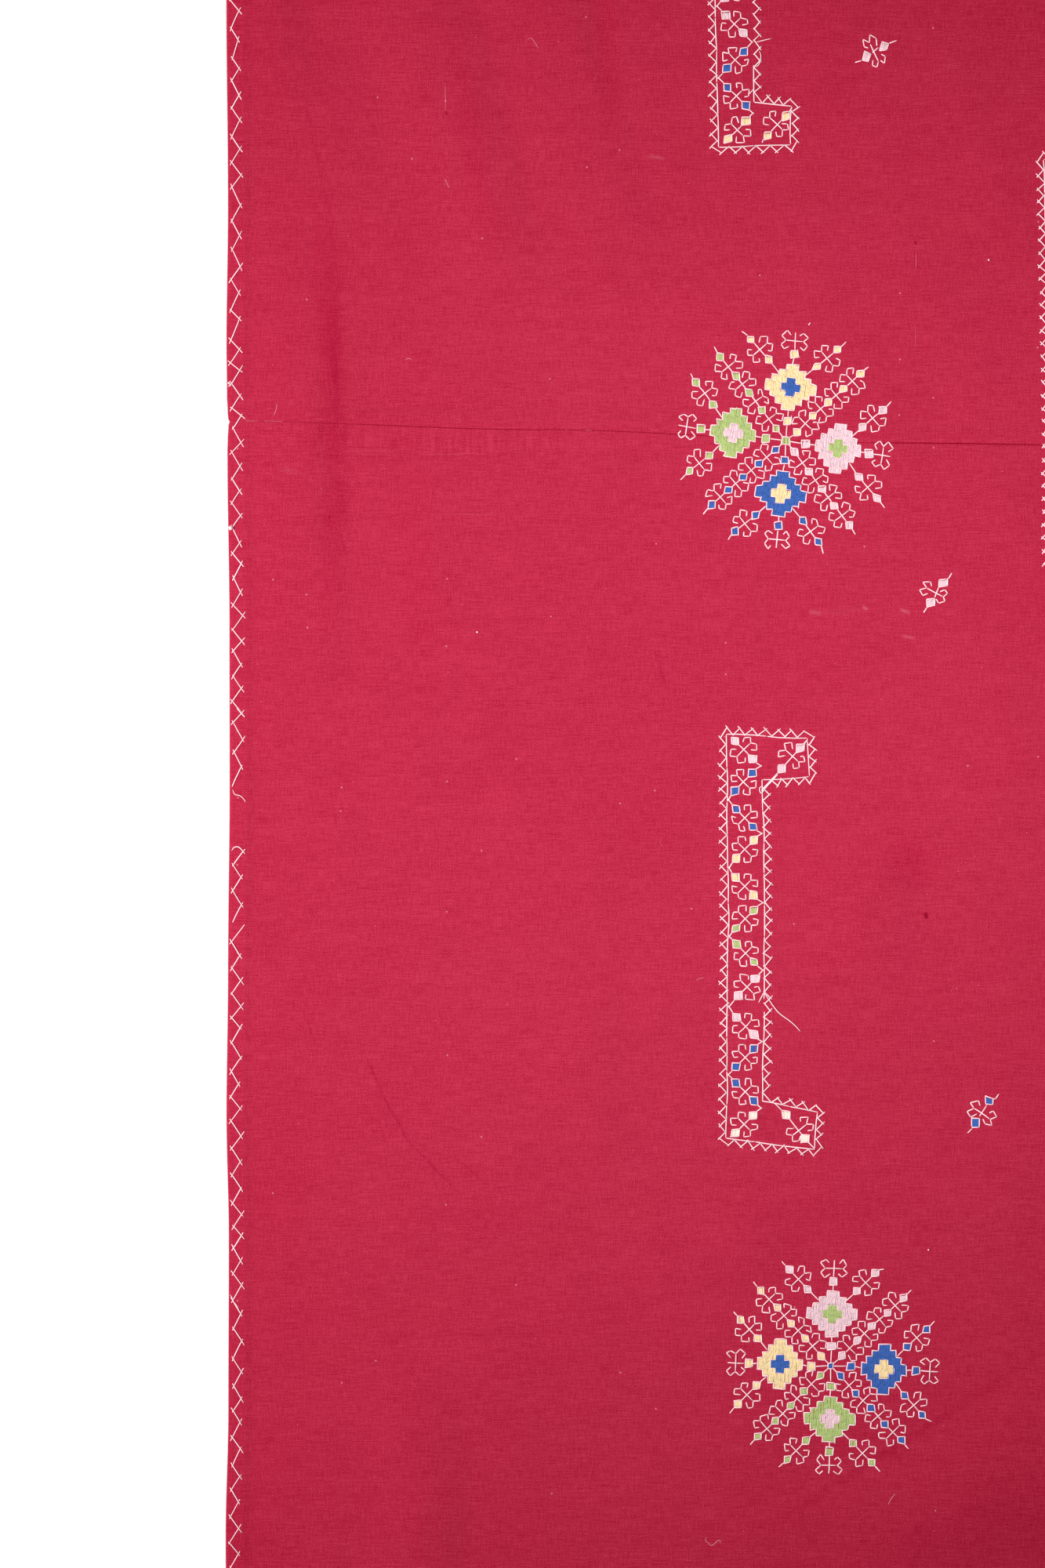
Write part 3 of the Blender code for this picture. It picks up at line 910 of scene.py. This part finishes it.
def bracket(name, seed, corners, bow, crosses, threads, ends, ties, lost=(1.0, 1.0)):
    """A whole bracket, from tables in millimetres: its eight corners clockwise, how far its long sides bow
    to the right, the places and threads of the twelve crosses down it, the crosses in its arm and its foot
    with a square at either end, the stitches that tie those to the frame, and the shares of its right side
    between which the line is lost. The crosses lean by turns to the left and the right, and small chevrons
    join each square to the next cross's square at the frame line."""
    work = Needlework(name, seed)
    corners = [corner * MM for corner in corners]
    bow = bow * MM
    edgings = []
    for k, start in enumerate(corners):
        side = (start, corners[(k + 1) % 8], bow if k in (3, 7) else 0.0)
        edgings.append(edging(work, side, TURNS_IN[k], TURNS_IN[(k + 1) % 8]))
        gap = lost if k == 3 else (1.0, 1.0)
        frame_line(work, side, 0.0, gap[0])
        if gap[1] < 1.0:
            frame_line(work, side, gap[1], 1.0)
    for before, after in zip(edgings, edgings[1:] + edgings[:1]):
        herringbone(work, [before[-1], after[0]], CORNER_TAILS, BRACKET_STRAY)

    pairs = []
    for k, (cross, colour) in enumerate(zip(crosses, threads)):
        axis = UPRIGHT if k % 2 == 0 else UPRIGHT.conjugate()
        pair = [cross * MM + side * work.rng.normal(SQUARE_REACH, SQUARE_SPREAD) * axis for side in (-1, 1)]
        hooked_cross(work, cross * MM, axis, pair[0] + axis * SQUARE_EDGE, pair[1] - axis * SQUARE_EDGE)
        for middle in pair:
            square(work, colour, middle, axis)
        pairs.append(pair)
    long_sides = (corners[0], corners[7], bow), (corners[3], corners[4], bow)
    for k, pair_and_next in enumerate(zip(pairs, pairs[1:])):
        goes_right = 1 - k % 2
        outwards = 2 * goes_right - 1
        upper, lower = (pair[goes_right] for pair in pair_and_next)
        start, end, _ = side = long_sides[goes_right]
        level = 0.5 * (upper.imag + lower.imag)
        line = along_side(*side, (level - start.imag) / (end.imag - start.imag)).real
        vertex = complex(line - outwards * CHEVRON_PAST, level)
        for middle, way in ((upper, 1), (lower, -1)):
            corner = middle + complex(outwards * CHEVRON_START[0], way * CHEVRON_START[1]) * MM
            work.line(corner, vertex + CHEVRON_PAST * unit(vertex - corner))
    for (middle, *pair), colour in ends:
        near, far = (place * MM for place in pair)
        axis = unit(far - near)
        hooked_cross(work, middle * MM, axis, near + END_SQUARE_EDGE * axis, far - END_SQUARE_EDGE * axis)
        for place in (near, far):
            square(work, colour, place, axis)
    for start, end in ties:
        work.line(start * MM, end * MM, lift=TIE_LIFT)
    work.sew()


LOWER_CORNERS = (
    318.3+718.3j, 370+720.6j, 371.5+745.3j, 341.2+747.3j, 341.3+952.2j, 376.6+959.4j, 374.7+983j, 318+975.8j,
)
LOWER_CROSSES = (
    329.4+728.2j, 329.2+748.6j, 330+771.6j, 330+791.8j, 330+815.2j, 330.3+836j, 330.5+857.9j, 331.4+879.4j,
    330.4+904.3j, 330.2+924.4j, 330.4+946.4j, 329.7+966.9j,
)
LOWER_THREADS = (
    "pink", "blue", "blue", "yellow", "yellow", "green", "green", "pink", "pink", "blue", "blue", "ivory",
)
LOWER_ENDS = ((360.2+732.1j, 353.6+740.1j, 365.4+727j), (365.2+970.3j, 356.5+960.9j, 368.6+976.1j))
LOWER_TIES = (
    (351.9+742.1j, 340.4+754.5j), (351.3+743.7j, 341.6+752.7j), (367.5+724.6j, 370.2+721.6j),
    (354.6+959.2j, 348.5+953j), (370.4+978.3j, 374.8+982.8j),
)
bracket(
    "lower_bracket", 23, LOWER_CORNERS, 1.2, LOWER_CROSSES, LOWER_THREADS,
    zip(LOWER_ENDS, ("pink", "ivory")), LOWER_TIES, (0.683, 0.720),
)

# The bracket above is one with its last pair of squares in yellow, and it leans a little
UPPER_CORNERS = (
    306.9+76j, 358.5+78.5j, 359.5+103j, 331.3+105.2j, 336+315.2j, 360.3+317.9j, 359.3+342.3j, 313.1+343.8j,
)
UPPER_DOWNS = (86.0, 108.0, 130.4, 152.8, 175.3, 197.5, 220.0, 242.5, 265.5, 288.3, 311.5, 332.8)
UPPER_FOOT, UPPER_LEAN = 324.7+311.5j, 0.0257
UPPER_CROSSES = [
    complex(UPPER_FOOT.real - UPPER_LEAN * (UPPER_FOOT.imag - down), down) for down in UPPER_DOWNS
]
UPPER_ENDS = ((348.6+90.2j, 342.1+97.8j, 353.9+84.9j), (350.1+329.1j, 344.6+336.2j, 356.3+323.9j))
UPPER_TIES = ((358.5+321.3j, 360.4+318.1j), (342.3+338.3j, 341+341.2j), (355.9+82.6j, 358.7+79.3j))
bracket(
    "upper_bracket", 29, UPPER_CORNERS, 0.6, UPPER_CROSSES, LOWER_THREADS[:-1] + ("yellow",),
    zip(UPPER_ENDS, ("pink", "yellow")), UPPER_TIES, (0.52, 0.887),
)

# The bracket by the right side stands as the lower one does, further up, with its threads in another order
RIGHT_START = 520.8+351.6j
RIGHT_TURN = np.exp(-0.0157j)
RIGHT_THREADS = (
    "ivory", "blue", "blue", "pink", "pink", "green", "green", "yellow", "yellow", "blue", "blue", "pink",
)


def moved_right(places):
    """Places of the lower bracket, moved and turned to where the right bracket has them."""
    return [RIGHT_START + (place - LOWER_CORNERS[0]) * RIGHT_TURN for place in places]


bracket(
    "right_bracket", 31, moved_right(LOWER_CORNERS), 1.2, moved_right(LOWER_CROSSES), RIGHT_THREADS,
    zip(map(moved_right, LOWER_ENDS), ("ivory", "pink")), map(moved_right, LOWER_TIES),
)


# The rosettes
# Round the seam and near the foot of the panel. Each has a small square in its middle, a stepped diamond of
# satin stitch on each of four sides, and eight-armed rays of hooked crosses and squares between them.
# Distances from the middle: along each axis, along each ray, and from a diamond's middle
DIAMOND_AT = 33.8 * MM
LINK_AT = 12.7 * MM
AXIS_SQUARE_AT = 54.4 * MM
AXIS_CROSS_AT = 63.3 * MM
AXIS_TAIL_AT = 69.0 * MM
RAY_SQUARES_AT = np.array([9.4, 24.4, 38.2, 51.8, 67.0]) * MM
RAY_CROSSES_AT = np.array([17.4, 31.2, 45.0, 59.2]) * MM
BRANCH_START_AT = 11.8 * MM
BRANCH_SQUARES_AT = np.array([21.8, 38.8]) * MM
BRANCH_CROSSES_AT = np.array([30.4]) * MM
AXIS_SQUARE_HALF = 2.40 * MM
RAY_SQUARE_HALF = 2.00 * MM
AXIS_REACH = 2.6 * MM
CORNER_REACH = 2.85 * MM
RAY_TAIL = 4.8 * MM
# Where a ray's first stitch starts, in half widths of the middle square
RAY_START = 1.3
SATIN_PACE = 4.3 * MM
BLOCK_WIDTH = 3.7 * MM
# Half the height of a diamond within each distance from its middle, in millimetres: one that is wider
# than it is high, and one that is higher than it is wide
WIDE_STEPS = ((4.0, 14.4), (8.3, 10.8), (12.3, 6.8), (16.2, 3.5))
TALL_STEPS = ((3.7, 15.9), (7.5, 12.0), (11.1, 7.7), (14.4, 3.7))
DIAMOND_MARGIN = 0.35 * MM
PLUS_STEPS = ((2.8, 5.9), (6.1, 2.6))
PLUS_THREAD = 0.50 * MM
# How far the hand strays, in millimetres: a diamond's place, its filling and its outline, those of its plus,
# the squares on its axis, and those on a ray, whose last stitch turns by so much and differs in length
DIAMOND_STRAYS = (0.15, 0.12, 0.28)
PLUS_STRAYS = (0.10, 0.20)
AXIS_STRAY = 0.25
RAY_STRAY = 0.3
TAIL_TURN = 0.2
TAIL_SPREAD = 0.5 * MM


def step_at(steps, right):
    """Half the height of a stepped shape at a distance from its middle, and nought beyond its last step."""
    return next((height for width, height in steps if abs(right) <= width * MM), 0.0) * MM


def stepped_outline(work, middle, steps, turn, reach):
    """Corners of a stepped diamond, clockwise from the top of its left side: the steps up, then down."""
    quarter = []
    for (width, height), (_, after) in zip(steps, steps[1:] + ((0.0, -steps[-1][1]),)):
        quarter += [complex(width, -height), complex(width, -after)]
    right = quarter[:-1]
    half = right + [corner.conjugate() for corner in right[::-1]]
    left = [-corner.conjugate() for corner in half[::-1]]
    return [work.loosely(middle + turn * corner * MM, reach) for corner in half + left]


def stepped_diamond(work, colour, inner_colour, middle, steps, turn):
    """A stepped diamond of upright satin stitches with a small plus in its middle in another thread. The
    joints of the stitches line up in narrow blocks and are staggered from block to block."""
    reach = steps[-1][0] * MM
    phases = work.rng.uniform(0.0, 1.0, (2, 20))
    first = reach - DIAMOND_MARGIN
    for right in np.linspace(-first, first, round(2 * reach / FILL_PITCH)):
        half, plus = step_at(steps, right), step_at(PLUS_STEPS, right)
        outer, inner = phases[:, int((right + reach) / BLOCK_WIDTH)]
        ring = (colour, DIAMOND_STRAYS[1], outer)
        spans = [(-half, half, *ring)]
        if plus:
            centre = (inner_colour, PLUS_STRAYS[0], inner)
            spans = [(-half, -plus, *ring), (plus, half, *ring), (-plus, plus, *centre)]
        for *ends, used, stray, phase in spans:
            top, bottom = (work.loosely(middle + turn * complex(right, end), stray) for end in ends)
            satin_column(work, used, top, bottom, SATIN_PACE, phase)
    outline(work, stepped_outline(work, middle, steps, turn, DIAMOND_STRAYS[2]))
    outline(work, stepped_outline(work, middle, PLUS_STEPS, turn, PLUS_STRAYS[1]), PLUS_THREAD)


def ray(work, colour, origin, way, squares_at, crosses_at):
    """Squares and hooked crosses by turns along a line from origin, and a last stitch beyond them. It gives
    the near corner of the first square."""
    places = [work.loosely(origin + way * at, RAY_STRAY) for at in squares_at]
    for place in places:
        square(work, colour, place, way, RAY_SQUARE_HALF)
    for at, before, after in zip(crosses_at, places, places[1:]):
        run = unit(after - before)
        hooked_cross(work, origin + way * at, run, before + CORNER_REACH * run, after - CORNER_REACH * run)
    tip = places[-1] + CORNER_REACH * way
    bend = way * np.exp(1j * work.rng.normal(0.0, TAIL_TURN))
    work.line(tip, tip + bend * work.rng.normal(RAY_TAIL, TAIL_SPREAD), lift=0.0)
    return places[0] - CORNER_REACH * way


def leaning(way, degrees):
    """A direction turned clockwise by some degrees."""
    return way * np.exp(1j * math.radians(degrees))


def rosette(name, seed, middle, degrees, middle_colour, middle_half, sides, rays):
    """A whole rosette, turned clockwise by some degrees. sides are listed from the top round to the left:
    the threads of a diamond and of its plus, how the arm that it stands on differs from the even plan, and
    how its two branches do, clockwise one first. rays, each with its thread, are the arms between them, from
    the upper right round to the upper left. An arm differs by the degrees that it leans clockwise, and by
    its length against the usual."""
    work = Needlework(name, seed)
    turn = leaning(1, degrees)
    square(work, middle_colour, middle, turn, middle_half)
    for k, (colour, plus_colour, (degrees, reach), branches) in enumerate(sides):
        axis = leaning(-1j * 1j**k * turn, degrees)
        edge = axis * AXIS_REACH
        place = work.loosely(middle + axis * DIAMOND_AT * reach, DIAMOND_STRAYS[0])
        steps = WIDE_STEPS if k % 2 == 0 else TALL_STEPS
        half_depth = axis * (steps[0][1] if k % 2 == 0 else steps[-1][0]) * MM
        stepped_diamond(work, colour, plus_colour, place, steps, turn)
        link = work.loosely(middle + axis * LINK_AT, AXIS_STRAY)
        square(work, colour, link, axis, AXIS_SQUARE_HALF)
        beyond = work.loosely(middle + axis * AXIS_SQUARE_AT * reach, AXIS_STRAY)
        square(work, colour, beyond, axis, AXIS_SQUARE_HALF)
        work.line(middle + axis * middle_half, link - edge)
        work.line(link + edge, place - half_depth)
        work.line(place + half_depth, beyond - edge)
        crossing, tail = (middle + axis * at * reach for at in (AXIS_CROSS_AT, AXIS_TAIL_AT))
        hooked_cross(work, crossing, axis, beyond + edge, tail)
        for turned, (degrees, reach) in zip((UPRIGHT, UPRIGHT.conjugate()), branches):
            way = leaning(-1j * 1j**k * turn * turned, degrees)
            first = ray(work, colour, place, way, BRANCH_SQUARES_AT * reach, BRANCH_CROSSES_AT * reach)
            work.line(place + way * BRANCH_START_AT, first)
    for k, (colour, degrees, reach) in enumerate(rays):
        way = leaning(UPRIGHT.conjugate() * 1j**k * turn, degrees)
        first = ray(work, colour, middle, way, RAY_SQUARES_AT * reach, RAY_CROSSES_AT * reach)
        work.line(middle + way * RAY_START * middle_half, first)
    work.sew()


rosette(
    "upper_rosette", 37, 0.3563 + 0.5311j, 7.3, "green", 2.45 * MM,
    (
        ("yellow", "blue", (-2.2, 1.01), ((-0.6, 0.98), (-1.1, 1.02))),
        ("pink", "green", (1.4, 0.98), ((0.1, 1.03), (-2.8, 0.97))),
        ("blue", "yellow", (-2.1, 1.00), ((-2.3, 0.98), (-0.5, 1.01))),
        ("green", "pink", (1.0, 1.01), ((2.2, 1.02), (-3.8, 0.95))),
    ),
    (("yellow", -3.9, 0.960), ("pink", 1.0, 1.005), ("blue", -2.8, 0.935), ("green", 0.0, 1.010)),
)
rosette(
    "lower_rosette", 43, 0.3849 + 1.1209j, 2.0, "blue", 1.75 * MM,
    (
        ("pink", "green", (0.0, 0.980), ((-0.4, 0.965), (-1.5, 1.020))),
        ("blue", "yellow", (1.4, 1.000), ((3.2, 0.985), (-0.2, 0.950))),
        ("green", "pink", (-0.9, 1.000), ((-0.5, 0.960), (-0.7, 0.995))),
        ("yellow", "blue", (0.0, 0.960), ((1.1, 0.980), (-0.2, 0.945))),
    ),
    (("pink", 0.0, 0.950), ("blue", 0.0, 0.980), ("green", -1.0, 0.960), ("yellow", 0.0, 0.975)),
)


# The sprigs
# Small free motifs of one hooked cross between two squares, each with a tail. They are sewn by eye and no
# two are alike, so each has its own places, in millimetres from its middle: its cream lines and its squares.
SPRIGS = (
    (412.4+283j, "pink", (
        (-2.4-4.9j, 2.9+6.2j), (-1.1+0.8j, 3-2.7j), (-2.9-5.6j, -2.6-10.7j, 1.4-8.5j, 1.8-3.5j),
        (-2.9-5.6j, -7-7.7j, -6.2-3j, -3.5-2.2j), (2.9+6.2j, 1.9+9.9j, -1+8.9j, -0.6+5.3j),
        (4.1+5.6j, 6.7+7.5j, 7.3+3j, 4.6+1.6j), (9.7-5.3j, 14.7-7.2j), (-7.5+5.7j, -12.1+7j),
    ), (
        (5.1-6.4j, 9.7-5.3j, 8.1-1j, 3.3-0.3j), (-6.1-0.5j, -1.8+1.6j, -3.7+6.7j, -7.5+5.7j),
    )),
    (452.2+628.2j, "pink", (
        (-6.1-3.2j, 4.5+2.4j), (1.6-3.8j, -1.1+3j), (-6.1-3.3j, -8.6-6.9j, -3.7-7.2j, -3-4.3j),
        (-6.1-3.3j, -10.7-2.1j, -8.6+1.6j, -5.3+0.2j), (4.5+2.4j, 7.3+0.3j, 5.4-2.1j, 2.4-0.8j),
        (4.5+2.4j, 5.4+5.3j, 1.6+6.5j, -0.3+3.8j), (7.7-9.1j, 10-12.9j), (-5.9+9.2j, -8.1+12.6j),
    ), (
        (1.6-8.6j, 7.3-9.2j, 7.2-4.6j, 1.4-3.7j), (-6.4+3.8j, -1+3.3j, -1+8j, -6.1+9.1j),
    )),
    (481+959.95j, "blue", (
        (-4.7-3j, 5.4+4j), (3.4-5.2j, -1.4+2.2j), (-4.7-3j, -7.2-6.6j, -1.9-8j, -0.9-4.6j),
        (-4.7-3j, -9.2-1.1j, -6.9+2.6j, -2.7+0.4j), (5.6+4j, 9.8+2.4j, 7.6-1.4j, 5-0.1j),
        (5.6+4j, 6.7+7.9j, 2.3+6.9j, 0.9+3.7j), (7.5-9j, 9.2-9.2j, 11.1-12.3j), (-5.9+9.8j, -8.9+12.8j),
    ), (
        (2.3-11.3j, 7.5-9.3j, 7.3-5.2j, 2.6-5.7j), (-6.3+3j, -1.1+3.2j, -1.3+9.2j, -6.3+9.3j),
    )),
)
SPRIG_SQUARE_DRAWN_IN = 0.94
sprigs = Needlework("sprigs", 47)
for middle, colour, lines, squares in SPRIGS:
    for places in lines:
        sprigs.chain([(middle + place) * MM for place in places])
    for corners in squares:
        centre = sum(corners) / 4
        inset = [middle + centre + (corner - centre) * SPRIG_SQUARE_DRAWN_IN for corner in corners]
        patch(sprigs, colour, [corner * MM for corner in inset])
sprigs.sew()


# Loose threads
# Ends and loops of cream thread that have worked loose, a knot, a few white specks and a little lint: each
# with its width and the places that it runs through, in millimetres.
LOOSE_THREADS = (
    ("bracket_end", 0.7, 341.9+882.5j, 344.7+886.4j, 348.5+892j, 352.3+896.4j, 358.1+900.6j, 362.4+904.3j,
     366+908.5j),
    ("bracket_stub", 0.7, 342+883j, 340.4+886.4j, 338.7+889.5j),
    ("corner_loop", 0.75, 350+745.8j, 344.5+751j, 340.6+755.8j, 339.4+752.9j, 341+751.2j),
    ("upper_end", 0.6, 337.5+277j, 341.5+276j, 347+274.7j),
    ("foot_end", 0.6, 332.4+310.4j, 334.2+308.7j, 336+306.2j),
    ("upper_loop", 0.6, 339.2+282.5j, 340.3+286j, 338.9+291.5j, 336+292.9j),
    ("hem_curl", 0.55, 1.9+753.5j, 3.4+756.6j, 6.6+757.4j, 8.8+759.2j, 10.5+761.8j),
    ("hem_loop", 0.75, 1.6+792.6j, 3.3+790.4j, 6+790.2j, 8.2+792j, 10.5+794.9j),
    ("hem_fray", 0.4, 0.6+1075.4j, 1.9+1077j, 3+1080j, 4.9+1082.2j, 7+1086j),
    ("stray_bit", 0.8, 370.6+457.4j, 371.3+456.6j, 372+455.7j),
    ("cream_knot", 1.1, 158.5+652.9j, 159.1+653.2j, 159.6+652.8j),
    ("white_speck", 1.3, 485.2+415.6j, 485.6+415.8j, 486+415.9j),
    ("low_speck", 1, 446.7+1047j, 447.2+1047.1j, 447.6+1047.3j),
    ("hem_lump", 2.6, 1+585.6j, 1.5+586.8j, 2+588j),
    ("hem_knot", 0.8, 2.6+493.2j, 0.9+494.4j, 2.7+495.4j, 0.8+496.6j),
    ("hem_double", 0.7, 4.6+701.6j, 7.2+704.4j, 9.9+707.6j),
    ("lint_a", 0.11, 191.5+275.6j, 194+274.7j, 196.5+278j, 198.4+281.6j),
    ("lint_b", 0.12, 138.5+364.2j, 140+367j, 141.3+370.2j),
    ("lint_c", 0.13, 113.8+479.4j, 115.6+478.6j, 117.8+479.3j),
    ("lint_d", 0.11, 299+875.3j, 301.6+873.9j, 304.6+873.4j),
    ("lint_e", 0.12, 31.8+507.2j, 31+511.4j, 29.2+515.4j),
    ("lint_f", 0.16, 426+1202.4j, 423.3+1205.6j, 421.4+1209.4j),
    ("lint_g", 0.16, 305.8+1229.2j, 305+1231.8j, 306.8+1233.4j, 308.9+1235j, 311+1233.6j, 312.9+1231.8j,
     314.4+1232j, 314+1234j),
)
LOOSE_RINGS = 22
LOOSE_FLATNESS = 0.7
LOOSE_SITS = 0.4
LOOSE_RISE = 0.3 * MM
LOOSE_TAPER = 0.25
# Finer threads than this, in millimetres, lie flat
LIES_FLAT = 0.3


def curve_through(places, count):
    """Places spaced along a smooth curve through a few given ones: each part is a cubic whose slope at a
    given place is half the step between that place's neighbours."""
    knots = np.array([2 * places[0] - places[1], *places, 2 * places[-1] - places[-2]])
    t = np.linspace(0.0, len(places) - 1.0, count)
    part = np.minimum(t.astype(int), len(places) - 2)
    t = t - part
    a, b, c, d = (knots[part + k] for k in range(4))
    return 0.5 * (2 * b + (c - a) * t + (2 * a - 5 * b + 4 * c - d) * t**2 + (3 * b - a - 3 * c + d) * t**3)


arch = np.sin(np.pi * np.linspace(0.0, 1.0, LOOSE_RINGS))
for name, width, *places in LOOSE_THREADS:
    place = curve_through(np.array(places) * MM, LOOSE_RINGS)[None]
    widths = width * MM * arch[None] ** LOOSE_TAPER
    high = LOOSE_FLATNESS * width * MM
    z = face_height(place) + LOOSE_SITS * high + LOOSE_RISE * (width > LIES_FLAT) * arch
    tubes(name, "cream", place, z, widths, LOOSE_FLATNESS * widths, np.array([1.0]))


# Lint
# Short fibres and small pills that have caught in the cloth, dyed by it to a pale pink.
LINT_COUNT = 760
LINT_SINKS = -0.02 * MM
LINT_SPAN = (0.01, 1.0)
LINT_LENGTHS = (0.25, 0.75)
LINT_WIDTHS = (0.14, 0.26)
lint = Needlework("lint", 61)
panel_sides = np.array([0.99 * PANEL_WIDTH, 0.99j * PANEL_HEIGHT])
for place in lint.rng.uniform(*LINT_SPAN, (LINT_COUNT, 2)) @ panel_sides:
    reach = lint.rng.uniform(*LINT_LENGTHS) * MM * np.exp(1j * lint.rng.uniform(0.0, np.pi))
    lint.lay("lint", place, place + reach, lint.rng.uniform(*LINT_WIDTHS) * MM, LINT_SINKS)
lint.sew()


# The surface it lies on
# A plain pale floor, soft light from the left and from overhead, and a camera that looks straight down on
# the part of the panel that the photograph shows.
FLOOR_COLOUR = (0.86, 0.86, 0.86, 1.0)
FLOOR_ROUGHNESS = 0.9
FLOOR_SPECULAR = 0.1
FLOOR_HALF = 6.0
FLOOR_DROP = 0.1 * MM
MOTTLE_GRAIN = 14.0
MOTTLE_SHADE = 0.03


def floor_material():
    """Pale matt board with a very faint mottle of noise."""
    finish = Finish("pale_floor", FLOOR_ROUGHNESS, FLOOR_SPECULAR)
    place = finish.node("TexCoord")["Object"]
    mottle = finish.node("TexNoise", {"Vector": place, "Scale": MOTTLE_GRAIN, "Detail": 3.0})[0]
    finish.paint(FLOOR_COLOUR, finish.plus(1.0 - MOTTLE_SHADE / 2, mottle, MOTTLE_SHADE))
    return finish.material


floor_corners = FLOOR_HALF * np.array([[-1, -1, 0], [1, -1, 0], [1, 1, 0], [-1, 1, 0]]) - [0, 0, FLOOR_DROP]
floor = new_piece("floor", floor_corners, [np.array([[0, 1, 2, 3]])], floor_material())

# Each light's name, place, aim, width and power
SOFT_LIGHTS = (
    ("window_light", (-1.87, -0.13, 1.30), (-0.20, 0.0, 0.0), 0.80, 58.7),
    ("overhead_light", (0.065, 0.007, 0.883), (0.065, 0.007, 0.0), 0.40, 5.7),
)
AMBIENT = 0.02
for name, place, aim, width, power in SOFT_LIGHTS:
    lamp = bpy.data.lights.new(name, "AREA")
    lamp.shape = "DISK"
    lamp.size = width
    lamp.energy = power
    holder = bpy.data.objects.new(name, lamp)
    holder.visible_camera = False
    holder.location = place
    holder.rotation_euler = (Vector(aim) - Vector(place)).to_track_quat("-Z", "Y").to_euler()
    bpy.context.scene.collection.objects.link(holder)

world = bpy.data.worlds.new("studio")
world.use_nodes = True
world.node_tree.nodes["Background"].inputs["Color"].default_value = (1.0, 1.0, 1.0, 1.0)
world.node_tree.nodes["Background"].inputs["Strength"].default_value = AMBIENT
bpy.context.scene.world = world
bpy.context.scene.view_settings.view_transform = "Standard"

# The camera sees one metre of the panel's length, round this place
CAMERA_LENS = 100.0
SENSOR_LONG_SIDE = 36.0
SEEN_LENGTH = 1.0
SEEN_MIDDLE = complex(0.18825, 0.750)
lens = bpy.data.cameras.new("camera")
lens.lens = CAMERA_LENS
lens.sensor_width = SENSOR_LONG_SIDE
camera = bpy.data.objects.new("camera", lens)
distance = SEEN_LENGTH * CAMERA_LENS / SENSOR_LONG_SIDE
across, up = SEEN_MIDDLE.real - PANEL_WIDTH / 2, PANEL_HEIGHT / 2 - SEEN_MIDDLE.imag
camera.location = (across, up, COTTON_THICKNESS + distance)
bpy.context.scene.collection.objects.link(camera)
bpy.context.scene.camera = camera
